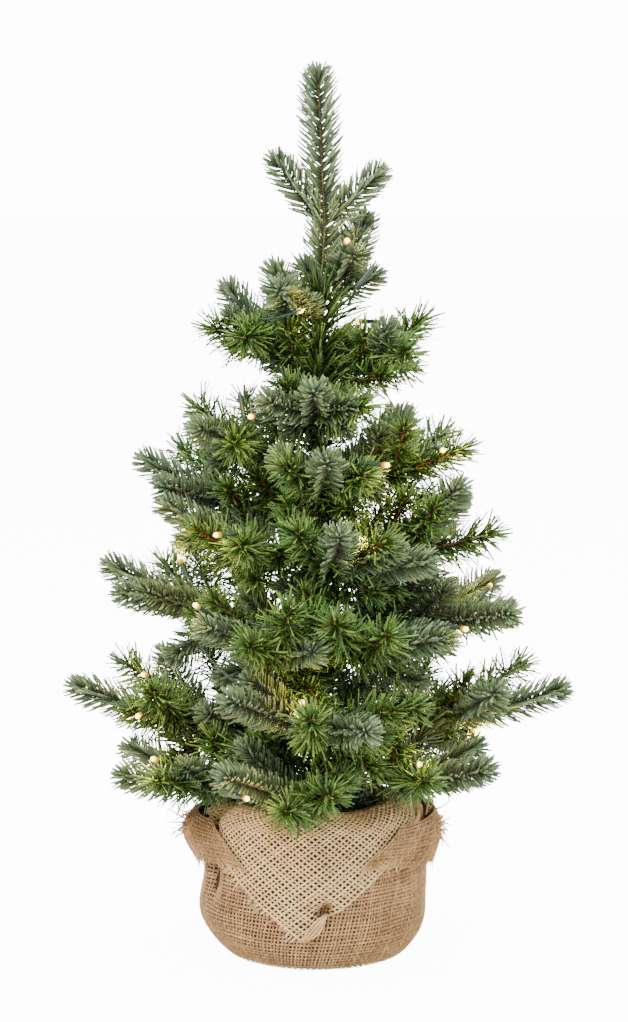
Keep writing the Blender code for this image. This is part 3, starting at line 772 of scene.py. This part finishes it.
def weave(surface, lines, samples, across, phase, keep=None, size=1.0, seed=0, shade=0.40):
    # threads at each of lines, sampled at samples; a thread's centre is the surface point plus
    # normal * wave * cos(pi * (crossing + its own number)), so it goes over one, under one
    chance = np.random.default_rng(seed)
    first, second = np.meshgrid(lines, samples, indexing="ij")
    pitch = abs(lines[1] - lines[0])
    wander = 0.10 * pitch * np.sin(second / (3.1 * pitch) + np.arange(len(lines))[:, None] * 1.9)
    step = 0.05 * pitch

    def place(lineShift, runShift):
        one, other = first + wander + lineShift, second + runShift
        return surface(one, other) if across else surface(other, one)

    centre = place(0, 0)
    side = unit(place(step, 0) - place(-step, 0))
    ahead = unit(place(0, step) - place(0, -step))
    normal = unit(np.cross(side, ahead) if across else np.cross(ahead, side))
    spacing = abs(samples[1] - samples[0]) * 2
    crossing = (second - samples[0]) / spacing + np.arange(len(lines))[:, None] + phase
    centre = centre + normal * (cloth["wave"] * np.cos(math.pi * crossing))[..., None]
    plump = size * chance.uniform(0.78, 1.22, (len(lines), 1)) * (1 + 0.10 * np.sin(second * 1.7 + first))
    half = (cloth["threadWidth"] / 2 * plump)[..., None]
    thick = (cloth["threadThickness"] / 2 * plump)[..., None]
    corners = np.stack([centre + half * side, centre + thick * normal, centre - half * side,
                        centre - thick * normal], axis=2) * mm
    count, long = first.shape
    kept = np.ones((count, long - 1), bool)
    if keep is not None:
        inside = keep(first, second) if across else keep(second, first)
        kept = inside[:, 1:] & inside[:, :-1]
    base = (np.arange(count)[:, None] * long + np.arange(long)[None, :]) * 4
    turn = np.arange(4)
    here, there = base[:, :-1, None] + turn, base[:, :-1, None] + (turn + 1) % 4
    quads = np.stack([here, here + 4, there + 4, there], axis=-1)[kept].reshape(-1, 4)
    before = np.concatenate([np.zeros((count, 1), bool), kept[:, :-1]], axis=1)
    after = np.concatenate([kept[:, 1:], np.zeros((count, 1), bool)], axis=1)
    starts = base[:, :-1][kept & ~before][:, None] + turn
    ends = base[:, 1:][kept & ~after][:, None] + turn[::-1]
    quads = np.concatenate([quads, starts, ends])
    if not across:
        quads = quads[:, ::-1]
    tone = shade + chance.normal(0, 0.06, (count, 1, 1)) + chance.normal(0, 0.07, (count, long, 1))
    tone = np.broadcast_to(tone, (count, long, 4))
    along = np.broadcast_to((np.arange(long) / (long - 1))[None, :, None], (count, long, 4))
    used, index = np.unique(quads, return_inverse=True)
    uv = np.clip(np.stack([tone.ravel(), along.ravel()], axis=1)[used], 0.02, 0.98)
    return corners.reshape(-1, 3)[used], index.reshape(-1, 4), noTriangles, uv


def stepped(low, high, pitch, even=False):
    # equal steps close to the pitch, an even number of them if asked
    count = int(round((high - low) / pitch))
    count += count % 2 if even else 0
    return np.linspace(low, high, count + 1)


def halved(values):
    # the same span in steps half as long
    return np.linspace(values[0], values[-1], 2 * (len(values) - 1) + 1)


def wallThreads():
    meanRadius, skew = cloth["wallMean"], cloth["wallLean"]
    pitch = cloth["pitch"]
    around = stepped(-math.pi * meanRadius, math.pi * meanRadius, pitch, True)
    climb = stepped(0.8, cloth["rim"] + cloth["gather"] + 8, pitch)

    def bearing(arc, run):
        # warps lean a little to the right as they climb
        return (arc + skew * run * np.cos(arc / meanRadius)) / meanRadius

    def surface(arc, run):
        return wallPoint(bearing(arc, run), run)

    def keep(arc, run):
        # nothing crosses the deep pleat on the left: only the shaded layer shows in it
        gap = 0.042 * np.sqrt(np.clip(1 - ((run - 66) / 20) ** 2, 0, 1))
        return np.abs(wrapAngle(bearing(arc, run) - wallPleat["gapBearing"])) >= gap

    warp = weave(surface, around[:-1], halved(climb), True, 0, keep, size=0.86, seed=11, shade=0.42)
    weft = weave(surface, climb, halved(around), False, 1, keep, size=0.86, seed=12, shade=0.44)
    return warp, weft


def flapThreads():
    # the front corner of the square: both sets of threads run parallel to its two edges
    pitch = cloth["flapPitch"]
    slope = math.radians(cloth["flapHalfAngle"])
    apexArc, apexHeight = cloth["flapApex"]
    reach = (cloth["flapTop"] + 20 - apexHeight) / math.cos(slope)
    lines = stepped(0.0, reach + pitch, pitch)
    tuckArc = cloth["tuckArc"]

    def flat(right, left):
        # arc = apex + (right - left) * sin(slope), run = apex + (right + left) * cos(slope)
        return apexArc + (right - left) * math.sin(slope), apexHeight + (right + left) * math.cos(slope)

    def surface(right, left):
        # beyond the cut edge, where right is below nought, the loose threads curl and droop
        fray = np.clip(-right, 0, None)
        arc, run = flat(right, left)
        arc = arc + 0.030 * fray ** 2 * np.sin(left * 1.7)
        run = run - 0.035 * fray ** 2 * (1 + np.sin(left * 2.3))
        rise = 2.7 + 1.0 * np.sin(right / 17 + 1) * np.sin(left / 13) + 1.2 * np.exp(-(right + left) / 25)
        rise = rise + 2.4 * np.clip((right - left - 40) / 50, 0, 1) + 0.10 * fray
        tuck = np.exp(-((arc - tuckArc) / 4.2) ** 2 - ((run - 43 - 0.9 * (arc - tuckArc)) / 6.0) ** 2)
        return wallPoint(arc / cloth["flapMean"], run, rise - 6.5 * tuck)

    def keep(right, left):
        arc, run = flat(right, left)
        # the hole at the tuck shows the layer behind, whose dark colour is painted shade
        hole = (np.abs(arc - 5.5) < 2.8) & (np.abs(run - 43.5 - 0.9 * (arc - tuckArc)) < 3.8)
        edge = right > -1.5 - 5.0 * np.abs(np.sin(left * 1.31)) * (np.sin(left * 0.23) > -0.3)
        return (right + left < reach) & ~hole & edge & (left > -0.5)

    frayed = np.linspace(lines[0] - 4 * pitch, lines[-1], 2 * (len(lines) + 3) + 1)
    one = weave(surface, lines, halved(lines), True, 0, keep, seed=21, shade=0.74)
    other = weave(surface, lines, frayed, False, 1, keep, seed=22, shade=0.78)
    return one, other, surface


def cuffThreads():
    # the top edge turned down: stands out at the two side corners, with an open cut edge at its hem
    pitch = cloth["cuffPitch"]
    bearings = np.linspace(cuffTable[0, 0], cuffTable[-1, 0], 240)
    smooth = [np.convolve(np.pad(np.interp(bearings, cuffTable[:, 0], cuffTable[:, column]), 8, "edge"),
                          np.ones(17) / 17, "valid") for column in (1, 2)]
    radius, deepest = cloth["cuffMean"], cloth["cuffDepth"]
    around = stepped(math.radians(bearings[0]) * radius, math.radians(bearings[-1]) * radius, pitch)
    deep = stepped(0.0, deepest, pitch)

    def surface(arc, depth):
        # height falls from rim to hem, out = cuffOut + reach * sin(pi * (0.12 + 0.72 * share)) + waves
        share = depth / deepest
        lean = np.cos(math.pi * (arc - around[0]) / (around[-1] - around[0]))
        bearing = np.degrees(arc / radius) - cloth["cuffLean"] * (share - 0.5) * lean
        reach, hem = (np.interp(bearing, bearings, values) for values in smooth)
        rolled = cloth["rim"] + 1.5
        height = rolled - (rolled - hem) * share + 0.22 * reach * np.sin(math.pi * share)
        phi = np.radians(bearing)
        out = cloth["cuffOut"] + reach * np.sin(math.pi * (0.12 + 0.72 * share))
        out = out + 0.9 * np.sin(7 * phi) * share
        y = -out * np.cos(phi)
        return np.stack([out * np.sin(phi), np.minimum(y, cloth["boxFront"] + 4.5), height], axis=-1)

    def flipped(depth, arc):
        return surface(arc, depth)

    one = weave(flipped, around, halved(deep), False, 0, seed=31)
    other = weave(flipped, deep, halved(around), True, 1, seed=32)
    return one, other, surface, around


def fringeThreads(starts, ways, lengths, radius, seed):
    # loose ends: each start + way * run, sagging with the square of its run, tapering to a point
    chance = np.random.default_rng(seed)
    parts = []
    share = np.linspace(0, 1, 7)
    for start, way, length in zip(starts, ways, lengths):
        curl = chance.normal(0, 0.35, 3) - np.array([0, 0, 0.25])
        path = start + length * (share[:, None] * way + (share ** 2)[:, None] * curl)
        parts.append(tubeArrays(path * mm, radius * mm * (1 - 0.75 * share), sides=5,
                                toneU=float(np.clip(chance.normal(0.5, 0.15), 0.05, 0.95))))
    return parts


def linerArrays():
    # a thin closed shell behind the threads: outer and inner grids joined at their edges, and the foot
    columns, rows = 96, 26
    phi = np.arange(columns) / columns * math.tau - math.pi
    run = np.linspace(0.6, cloth["rim"] + cloth["gather"] + 7, rows)
    angle, climb = np.meshgrid(phi, run)
    outer, inner = wallPoint(angle, climb, -1.25), wallPoint(angle, climb, -1.75)
    sunk = np.clip((climb - cloth["rim"]) / 8, 0, 1)
    outer[..., 2] -= 0.7 * sunk
    inner[..., 2] -= 1.0 * sunk
    centre = np.array([[-1.0, 0.0, 0.6], [-1.0, 0.0, 1.2]])
    points = np.concatenate([outer.reshape(-1, 3), inner.reshape(-1, 3), centre]) * mm
    faces = gridQuads(rows, columns)
    offset = rows * columns
    turn = np.arange(columns)
    after = (turn + 1) % columns
    topRow = (rows - 1) * columns
    seam = np.stack([topRow + turn, topRow + after, offset + topRow + after, offset + topRow + turn], axis=1)
    quads = np.concatenate([faces, faces[:, ::-1] + offset, seam])
    foot = np.stack([np.full(columns, 2 * offset), after, turn], axis=1)
    footInner = np.stack([np.full(columns, 2 * offset + 1), offset + turn, offset + after], axis=1)
    return points, quads, np.concatenate([foot, footInner]), np.full((len(points), 2), 0.5)


def patchArrays(surface, first, second, below, thickness):
    # a closed shell behind a patch: grid of the surface sunk by below, a second one by thickness more
    one, other = np.meshgrid(first, second, indexing="ij")
    centre = surface(one, other)
    normal = unit(np.cross(surface(one + 0.5, other) - surface(one - 0.5, other),
                           surface(one, other + 0.5) - surface(one, other - 0.5)))
    outer, inner = centre - normal * below, centre - normal * (below + thickness)
    rows, columns = one.shape
    faces = gridQuads(rows, columns, False)[:, [0, 3, 2, 1]]
    offset = rows * columns
    rim = np.concatenate([np.arange(columns), np.arange(1, rows) * columns + columns - 1,
                          (rows - 1) * columns + np.arange(columns - 2, -1, -1),
                          np.arange(rows - 2, 0, -1) * columns])
    beside = np.roll(rim, -1)
    wall = np.stack([rim, beside, beside + offset, rim + offset], axis=1)
    points = np.concatenate([outer.reshape(-1, 3), inner.reshape(-1, 3)]) * mm
    quads = np.concatenate([faces, faces[:, ::-1] + offset, wall])
    return points, quads, noTriangles, np.full((2 * offset, 2), 0.5)


# the seven yarns that are gathered into the tuck follow this line, millimetres
tuckLine = np.array([(-10.5, -79.0, 24.5), (-6.0, -80.8, 29.0), (-2.0, -81.0, 33.5), (2.0, -79.5, 38.5),
                     (5.5, -75.0, 42.0)])
# bushes of loose ends on the turned edge: bearings in degrees, how many, the longest in millimetres
frayedPlaces = [(70, 104, 34, 9.0), (258, 288, 26, 13.0)]


def frayedEnds(flap, cuff, around):
    # loose ends along the turned edge's hem, in bushes at its side corners, and on the front corner
    chance = np.random.default_rng(5)
    deepest = cloth["cuffDepth"]
    count = 170
    arc = chance.uniform(around[0], around[-1], count)
    start = cuff(arc, np.full(count, deepest))
    way = unit(start - cuff(arc, np.full(count, deepest - 4)) + chance.normal(0, 1.2, (count, 3)))
    loose = fringeThreads(start, way, chance.uniform(2, 6.5, count), 0.6, 6)
    for low, high, number, longest in frayedPlaces:
        arc = np.radians(chance.uniform(low, high, number)) * cloth["cuffMean"]
        start = cuff(arc, chance.uniform(4, 22, number))
        away = unit(start * np.array([1, 1, 0])) + chance.normal(0, 0.5, (number, 3))
        loose += fringeThreads(start, unit(away), chance.uniform(3, longest, number), 0.78, 7)
    count = 46
    edge = chance.uniform(4, 105, count)
    start = flap(np.zeros(count), edge)
    way = unit(start - flap(np.full(count, 4.0), edge - 3) + chance.normal(0, 1.0, (count, 3)))
    return loose + fringeThreads(start, way, chance.uniform(3, 9, count), 0.5, 8)


def tuckedYarns():
    # offset from the tuck's line = spread * sin(pi * share), so the yarns cross from side to side
    share = np.linspace(0, 1, 30)[:, None]
    fold = evenly(tuckLine, 30)
    gathered = []
    for index in range(7):
        path = fold + np.sin(math.pi * share) * (index - 3) * 1.15 * np.array([0.7, 0, -0.7])
        path = path + np.array([0, -0.5, 0]) * np.sin(math.tau * 2 * share + 2.4 * index)
        gathered.append(tubeArrays(path * mm, 0.5 * mm, 6, toneU=0.58 + 0.2 * (-1) ** index))
    return gathered


def rolledHem(flap):
    # the front corner's edge rolls up into a cord that swells with sin(pi * share) ^ 0.7
    run, share = np.linspace(80, 128, 70), np.linspace(0.02, 0.9, 70)
    edge = flap(run, np.zeros(70))
    roll = edge + np.array([0, 0, 0.6]) + unit(edge * [1, 1, 0]) * 0.6
    return tubeArrays(roll * mm, (0.4 + 1.3 * np.sin(math.pi * share) ** 0.7) * mm, 12, 4, 0.22, 70, 0.62)


def makeWrap():
    one, other, flap = flapThreads()
    turned, hem, cuff, around = cuffThreads()
    along = math.cos(math.radians(cloth["flapHalfAngle"]))

    def corner(share, climb):
        # the front corner again, by how far up it and what share of the way across
        return flap((climb + share * climb) / 2 / along, (climb - share * climb) / 2 / along)

    # the shells behind the threads carry painted shade: their dark colour stands for the shadow between the
    # threads
    liner = makePiece("burlap_inner_painted_shade", joinArrays([
        linerArrays(), patchArrays(corner, np.linspace(-0.97, 0.97, 30), np.linspace(4, 88, 24), 1.0, 0.4),
        patchArrays(cuff, around[::2], np.linspace(1, 29, 10), -1.0, 0.4)]), juteShadeLayer, "base")
    warp, weft = wallThreads()
    pieces = [makePiece(name, joinArrays(parts), juteThread, "base") for name, parts in (
        ("burlap_wall_warp", [warp]), ("burlap_wall_weft", [weft]), ("burlap_front_corner", [one, other]),
        ("burlap_turned_edge", [turned, hem]), ("burlap_frayed_ends", frayedEnds(flap, cuff, around)),
        ("burlap_tucked_yarns", tuckedYarns()), ("burlap_rolled_hem", [rolledHem(flap)]))]
    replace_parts(liner, "burlap_wrap")


makeWrap()
print("wrap done")


# ---- twine ----
cord = {
    "ring": 66.0, "flatAt": 64.0, "height": 92.4, "radius": 1.1,      # millimetres, as are the points
    "loop": [(74, -18, 97), (78, -19, 104), (77, -20, 111), (82, -20, 114), (88, -19, 111),
             (89, -18, 105), (84, -18, 101), (78, -18, 100)],
    "tail": [(73, -18, 96), (75, -19, 106), (74, -19, 116), (71, -18, 124)],
}


def makeTwine():
    # three jute yarns twisted into the cord that gathers the cloth, with a loop and a tail on the right
    turn = np.linspace(0, math.tau, 200)
    right, back = (cord["ring"] * wave(turn) for wave in (np.cos, np.sin))
    level = np.full(len(turn), cord["height"])
    ring = np.stack([right, np.minimum(back, cord["flatAt"]), level], axis=1)
    loop, tail = (np.array(cord[name], float) for name in ("loop", "tail"))
    twine = makePiece("jute_twine_cord", joinArrays([
        tubeArrays(ring * mm, cord["radius"] * mm, 9, 3, 0.2, 110, 0.4),
        tubeArrays(evenly(loop, 60) * mm, 0.4 * mm, 6, toneU=0.2),
        tubeArrays(evenly(tail, 40) * mm, 0.75 * mm, 8, 3, 0.2, 150, 0.3)]), juteThread, "base")
    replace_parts(twine, "jute_twine")


makeTwine()
print("twine done")


# ---- lamps and leads ----
lamp = {
    "strandRadius": 0.46, "cableStrand": 0.5, "strandTurns": 120,       # millimetres, turns per metre
    "sleeveRadius": 1.55, "sleeveSpan": (3.2, 18.5), "leadFrom": 16.0,
    "lensRadius": 1.8, "lensLength": 5.4, "glow": 9.0,
    "spill": 0.085, "spillAhead": 2.2, "colour": "#ffc24c",
}


def lensMaterial():
    # warm LED in a clear tip: UV's second axis runs from the tip, which blows out to yellow-white,
    # to the amber resin at its foot
    made, tree = newMaterial("lit_warm_led_lens")
    split = uvAxes(tree)
    colour = addNode(tree, "ValToRGB", inputs={"Fac": (split, 1)},
                     ramp=[(0.30, "#ffe878"), (0.46, "#d8a420"), (0.60, "#7c5800"), (1.0, "#5a3a00")])
    shader = addNode(tree, "BsdfPrincipled", inputs={
        "Base Color": linear("#241806"), "Roughness": 0.5, "Specular IOR Level": 0.0,
        "Emission Color": (colour, 0), "Emission Strength": lamp["glow"]})
    return finished(made, shader)


litLens = lensMaterial()


def tubeLine(name, start):
    # ring centres of a six-sided CAD tube, walked from the given starting points
    points, pairs = weldedNode(name)
    return ringsFrom(points, pairs, start(points, pairs), 400)[0]


def poleOf(points, pairs):
    # the closed, pointed end: of the points with six neighbours, the one where their mean distance
    # and its scatter are least
    near = np.linalg.norm(points[pairs[:, 0]] - points[pairs[:, 1]], axis=1)
    ends, edges = pairs.T.ravel(), np.tile(np.arange(len(pairs)), 2)
    order = np.lexsort((edges, ends))
    six = np.flatnonzero(np.bincount(ends) == 6)
    lengths = near[edges[order][np.isin(ends[order], six)]].reshape(-1, 6)
    return [six[int((lengths.std(axis=1) + lengths.mean(axis=1) * 0.2).argmin())]]


def cablePiece(name, arrays, body):
    return makePiece(name, arrays, cablePlastic, body, False)


def twistedStrands(path, radius):
    # two insulated strands that turn round the lead's line, offset by just over a radius
    fine = evenly(path, max(int(pathLength(path) / mm / 1.1), 12))
    level, upper = crosswise(unit(np.gradient(fine, axis=0)))
    turn = math.tau * lamp["strandTurns"] * travelled(fine)
    offset = np.cos(turn)[:, None] * level + np.sin(turn)[:, None] * upper
    return joinArrays([tubeArrays(fine + way * 1.04 * radius * mm * offset, radius * mm, 5)
                       for way in (1, -1)])


def buildLamp(name, body, line):
    # line runs from the lens back along the lead: lens, sleeve, then two twisted strands
    whole = pathLength(line)

    def stretch(low, high, count):
        return evenly(line, count, low * mm, min(high * mm, whole))

    lead = stretch(lamp["leadFrom"], math.inf, 90)
    cablePiece(name + "_lead", twistedStrands(lead, lamp["strandRadius"]), body)
    share = np.linspace(0, 1, 16)
    radii = lamp["sleeveRadius"] * mm * (0.80 + 0.20 * np.minimum(1, 6 * share * (1.02 - share)))
    cablePiece(name + "_sleeve", tubeArrays(stretch(*lamp["sleeveSpan"], 16), radii, 10), body)
    share = np.linspace(0.0, 1.0, 12)
    domed = np.sqrt(np.clip(1 - (1 - np.minimum(share * 2.0, 1)) ** 2, 0.04, 1))
    radii = lamp["lensRadius"] * mm * domed
    lens = makePiece(name + "_lens", tubeArrays(stretch(0.0, lamp["lensLength"], 12), radii, 12),
                     litLens, body)
    light = bpy.data.objects.new(name + "_light", bpy.data.lights.new(name + "_light", "POINT"))
    light.data.energy = lamp["spill"]
    light.data.color = linear(lamp["colour"])[:3]
    light.data.shadow_soft_size = 0.0016
    light.location = line[0] + unit(line[0] - line[2]) * lamp["spillAhead"] * mm
    bpy.context.scene.collection.objects.link(light)
    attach(light, body)
    return lens


for name in sorted(name for name in nodes if name.startswith("lamp_")):
    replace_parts(buildLamp(name, nodes[name]["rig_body"], tubeLine(name, poleOf)), name)

# one more lamp, which is not a CAD node: the line of its lens, sleeve and lead
furtherLine = np.array([(-92, -40, 276), (-86, -44, 262), (-70, -40, 266)]) * mm
buildLamp("further_lamp", "branch_11_body", evenly(furtherLine, 24, 0, 33 * mm))

# joints of the chain in shrunk dark sleeves: body, then the sleeve's end, its foot and the lead's entry
chainJoints = [
    ("branch_01_body", (37, -30, 467), (26, -30, 454), (20, -14, 441)),
    ("branch_05_body", (-51, -60, 386), (-48, -60, 370), (-34, -52, 366)),
    ("branch_05_body", (-44, -61, 383), (-42, -60, 367), (-30, -50, 362)),
]
# slack stretches of the chain between lamps, as points along each, millimetres
slackWires = [
    ("branch_02_body", (-38, -36, 432), (-30, -43, 433), (-22, -47, 435), (-14, -48, 438), (-6, -40, 441)),
    ("branch_18_body", (-76, -92, 226), (-70, -100, 220), (-61, -105, 210), (-51, -108, 203),
     (-40, -108, 195), (-32, -100, 187)),
    ("branch_17_body", (-46, -84, 240), (-40, -90, 239), (-30, -95, 237), (-18, -98, 238), (-7, -98, 242),
     (4, -90, 247)),
    ("branch_21_body", (-10, -102, 176), (-6, -110, 176), (3, -118, 179), (13, -120, 183), (22, -118, 186),
     (33, -106, 191)),
]


def makeChain():
    for index, (body, *corners) in enumerate(chainJoints):
        # radius 1.7 mm over the sleeve, rounded at its end, stepping down to the lead
        share = np.linspace(0, 1, 30)
        radii = np.where(share < 0.55, 1.7 * np.sqrt(np.clip(share / 0.06, 0.05, 1)), 0.8) * mm
        sleeve = tubeArrays(evenly(np.array(corners) * mm, 30), radii, 12)
        cablePiece("chain_joint_%d" % (index + 1), sleeve, body)
    for index, (body, *places) in enumerate(slackWires):
        # each coordinate is a cubic in the share of the way, fitted to the points
        share, fine = np.linspace(0, 1, len(places)), np.linspace(0, 1, 40)
        cubic = np.polyfit(share, np.array(places, float), 3)
        line = np.stack([np.polyval(cubic[:, axis], fine) for axis in range(3)], axis=1) * mm
        cablePiece("slack_wire_%d" % (index + 1), twistedStrands(line, lamp["cableStrand"]), body)


makeChain()

# ---- battery box ----
batteryBox = {
    "outlet": (24.3, 76.5, 59.3),       # where the cable leaves the case; all sizes in millimetres
    "ribs": 5, "firstRib": 10, "ribPitch": 3.2, "ribHalf": 9, "ribRadius": 0.6,
    "lipInset": 4, "lipEnd": 5, "lipRadius": 0.45,
    "grommet": [2.6, 2.6, 2.3, 2.3, 1.9, 1.9, 1.5, 1.5], "grommetFrom": -2, "grommetTo": 6,
}


def makeCable():
    outlet = np.array(batteryBox["outlet"]) * mm

    def atOutlet(points, pairs):
        return np.argsort(np.linalg.norm(points - outlet, axis=1))[:6]

    line = tubeLine("light_cable", atOutlet)
    cable = cablePiece("light_cable_strands", twistedStrands(line, lamp["cableStrand"]), "base")
    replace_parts(cable, "light_cable")


makeCable()
print("lamps done")


# ---- CAD nodes that stay ----
kept = {"pot": blackPot, "cement_weight": cementGrey, "trunk_rod": drawnSteel, "trunk_tape": windingTape,
        "battery_case": boxPlastic, "battery_lid": boxPlastic, "switch_slider": switchPlastic,
        "battery_cell_1": cellSleeve, "battery_cell_2": cellSleeve, "battery_cell_3": cellSleeve,
        "contact_left": springSteel, "contact_right": springSteel}
for name, surface in kept.items():
    nodes[name].data.materials.clear()
    nodes[name].data.materials.append(surface)


def makeBoxDetails():
    # five grip ribs and two long lips on the lid, and a stepped grommet where the cable leaves the case
    low, high = (np.array(corner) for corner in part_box("battery_lid"))
    middle = (low + high) / 2
    ribs = []
    for index in range(batteryBox["ribs"]):
        x = high[0] - (batteryBox["firstRib"] + batteryBox["ribPitch"] * index) * mm
        half = batteryBox["ribHalf"] * mm
        path = np.array([(x, high[1], middle[2] - half), (x, high[1], middle[2] + half)])
        ribs.append(tubeArrays(evenly(path, 9, 0, 2 * half), batteryBox["ribRadius"] * mm))
    inset, end = batteryBox["lipInset"] * mm, batteryBox["lipEnd"] * mm
    for height in (low[2] + inset, high[2] - inset):
        path = np.array([(low[0] + end, high[1], height), (high[0] - end, high[1], height)])
        ribs.append(tubeArrays(evenly(path, 9), batteryBox["lipRadius"] * mm))
    makePiece("battery_lid_ribs", joinArrays(ribs), boxPlastic, "lid", False)
    outlet = np.array(batteryBox["outlet"]) * mm
    path = np.array([outlet + (0, 0, batteryBox[name] * mm) for name in ("grommetFrom", "grommetTo")])
    grommet = tubeArrays(evenly(path, 8, 0, 8 * mm), np.array(batteryBox["grommet"]) * mm, 14)
    cablePiece("battery_cable_grommet", grommet, "base")


makeBoxDetails()
print("small parts done")


# ---- stage ----
studio = {
    "floor": "#f2f1ef", "sky": "#ffffff", "skyLight": 1.15,
    "skySeen": 14.0, "floorSeen": 11.8,       # how bright the backdrop and the lit floor look
    "floorHalf": 30.0, "aimAt": (0, 0, 0.28),
    # name, place in metres, size of the soft box in metres, watts
    "lights": [("key", (-1.1, -1.7, 1.9), 0.7, 72), ("fill", (1.6, -1.3, 1.1), 1.2, 27),
               ("top", (0.1, 0.3, 2.2), 1.0, 50)],
}


def floorMaterial():
    # white acrylic lit from below: what is seen is brighter than what it gives back to the object
    made, tree = newMaterial("lit_white_acrylic_floor")
    shader = addNode(tree, "BsdfPrincipled", inputs={"Base Color": linear(studio["floor"]),
                                                     "Roughness": 0.6})
    lit = addNode(tree, "Emission", inputs={"Color": linear("#ffffff"), "Strength": studio["floorSeen"]})
    seen = addNode(tree, "LightPath")
    share = addNode(tree, "MixShader", inputs={0: (seen, "Is Camera Ray")})
    both = addNode(tree, "AddShader", inputs={0: (shader, 0), 1: (lit, 0)})
    tree.links.new(shader.outputs[0], share.inputs[1])
    tree.links.new(both.outputs[0], share.inputs[2])
    return finished(made, share)


def makeStage():
    # a lit floor, a white world that is brighter to the camera than to the object, and soft boxes
    half = studio["floorHalf"]
    corners = [(-half, -half, 0), (half, -half, 0), (half, half, 0), (-half, half, 0)]
    arrays = (corners, [[0, 1, 2, 3]], noTriangles, None)
    floor = makePiece("floor", arrays, floorMaterial(), "base", mapped=False)
    world = bpy.data.worlds.new("studio")
    bpy.context.scene.world = world
    world.use_nodes = True
    tree = world.node_tree
    tree.nodes.clear()
    seen = addNode(tree, "LightPath")
    strength = addNode(tree, "MapRange", inputs={0: (seen, "Is Camera Ray"), 3: studio["skyLight"],
                                                 4: studio["skySeen"]})
    sky = addNode(tree, "Background", inputs={"Color": linear(studio["sky"]), "Strength": (strength, 0)})
    addNode(tree, "OutputWorld", inputs={"Surface": (sky, 0)})
    for name, place, size, power in studio["lights"]:
        light = bpy.data.objects.new(name, bpy.data.lights.new(name, "AREA"))
        light.data.size = size
        light.data.energy = power
        light.location = place
        aim = np.array(studio["aimAt"]) - np.array(place)
        light.rotation_euler = (math.acos(-aim[2] / np.linalg.norm(aim)), 0,
                                math.atan2(aim[1], aim[0]) - math.pi / 2)
        bpy.context.scene.collection.objects.link(light)


makeStage()
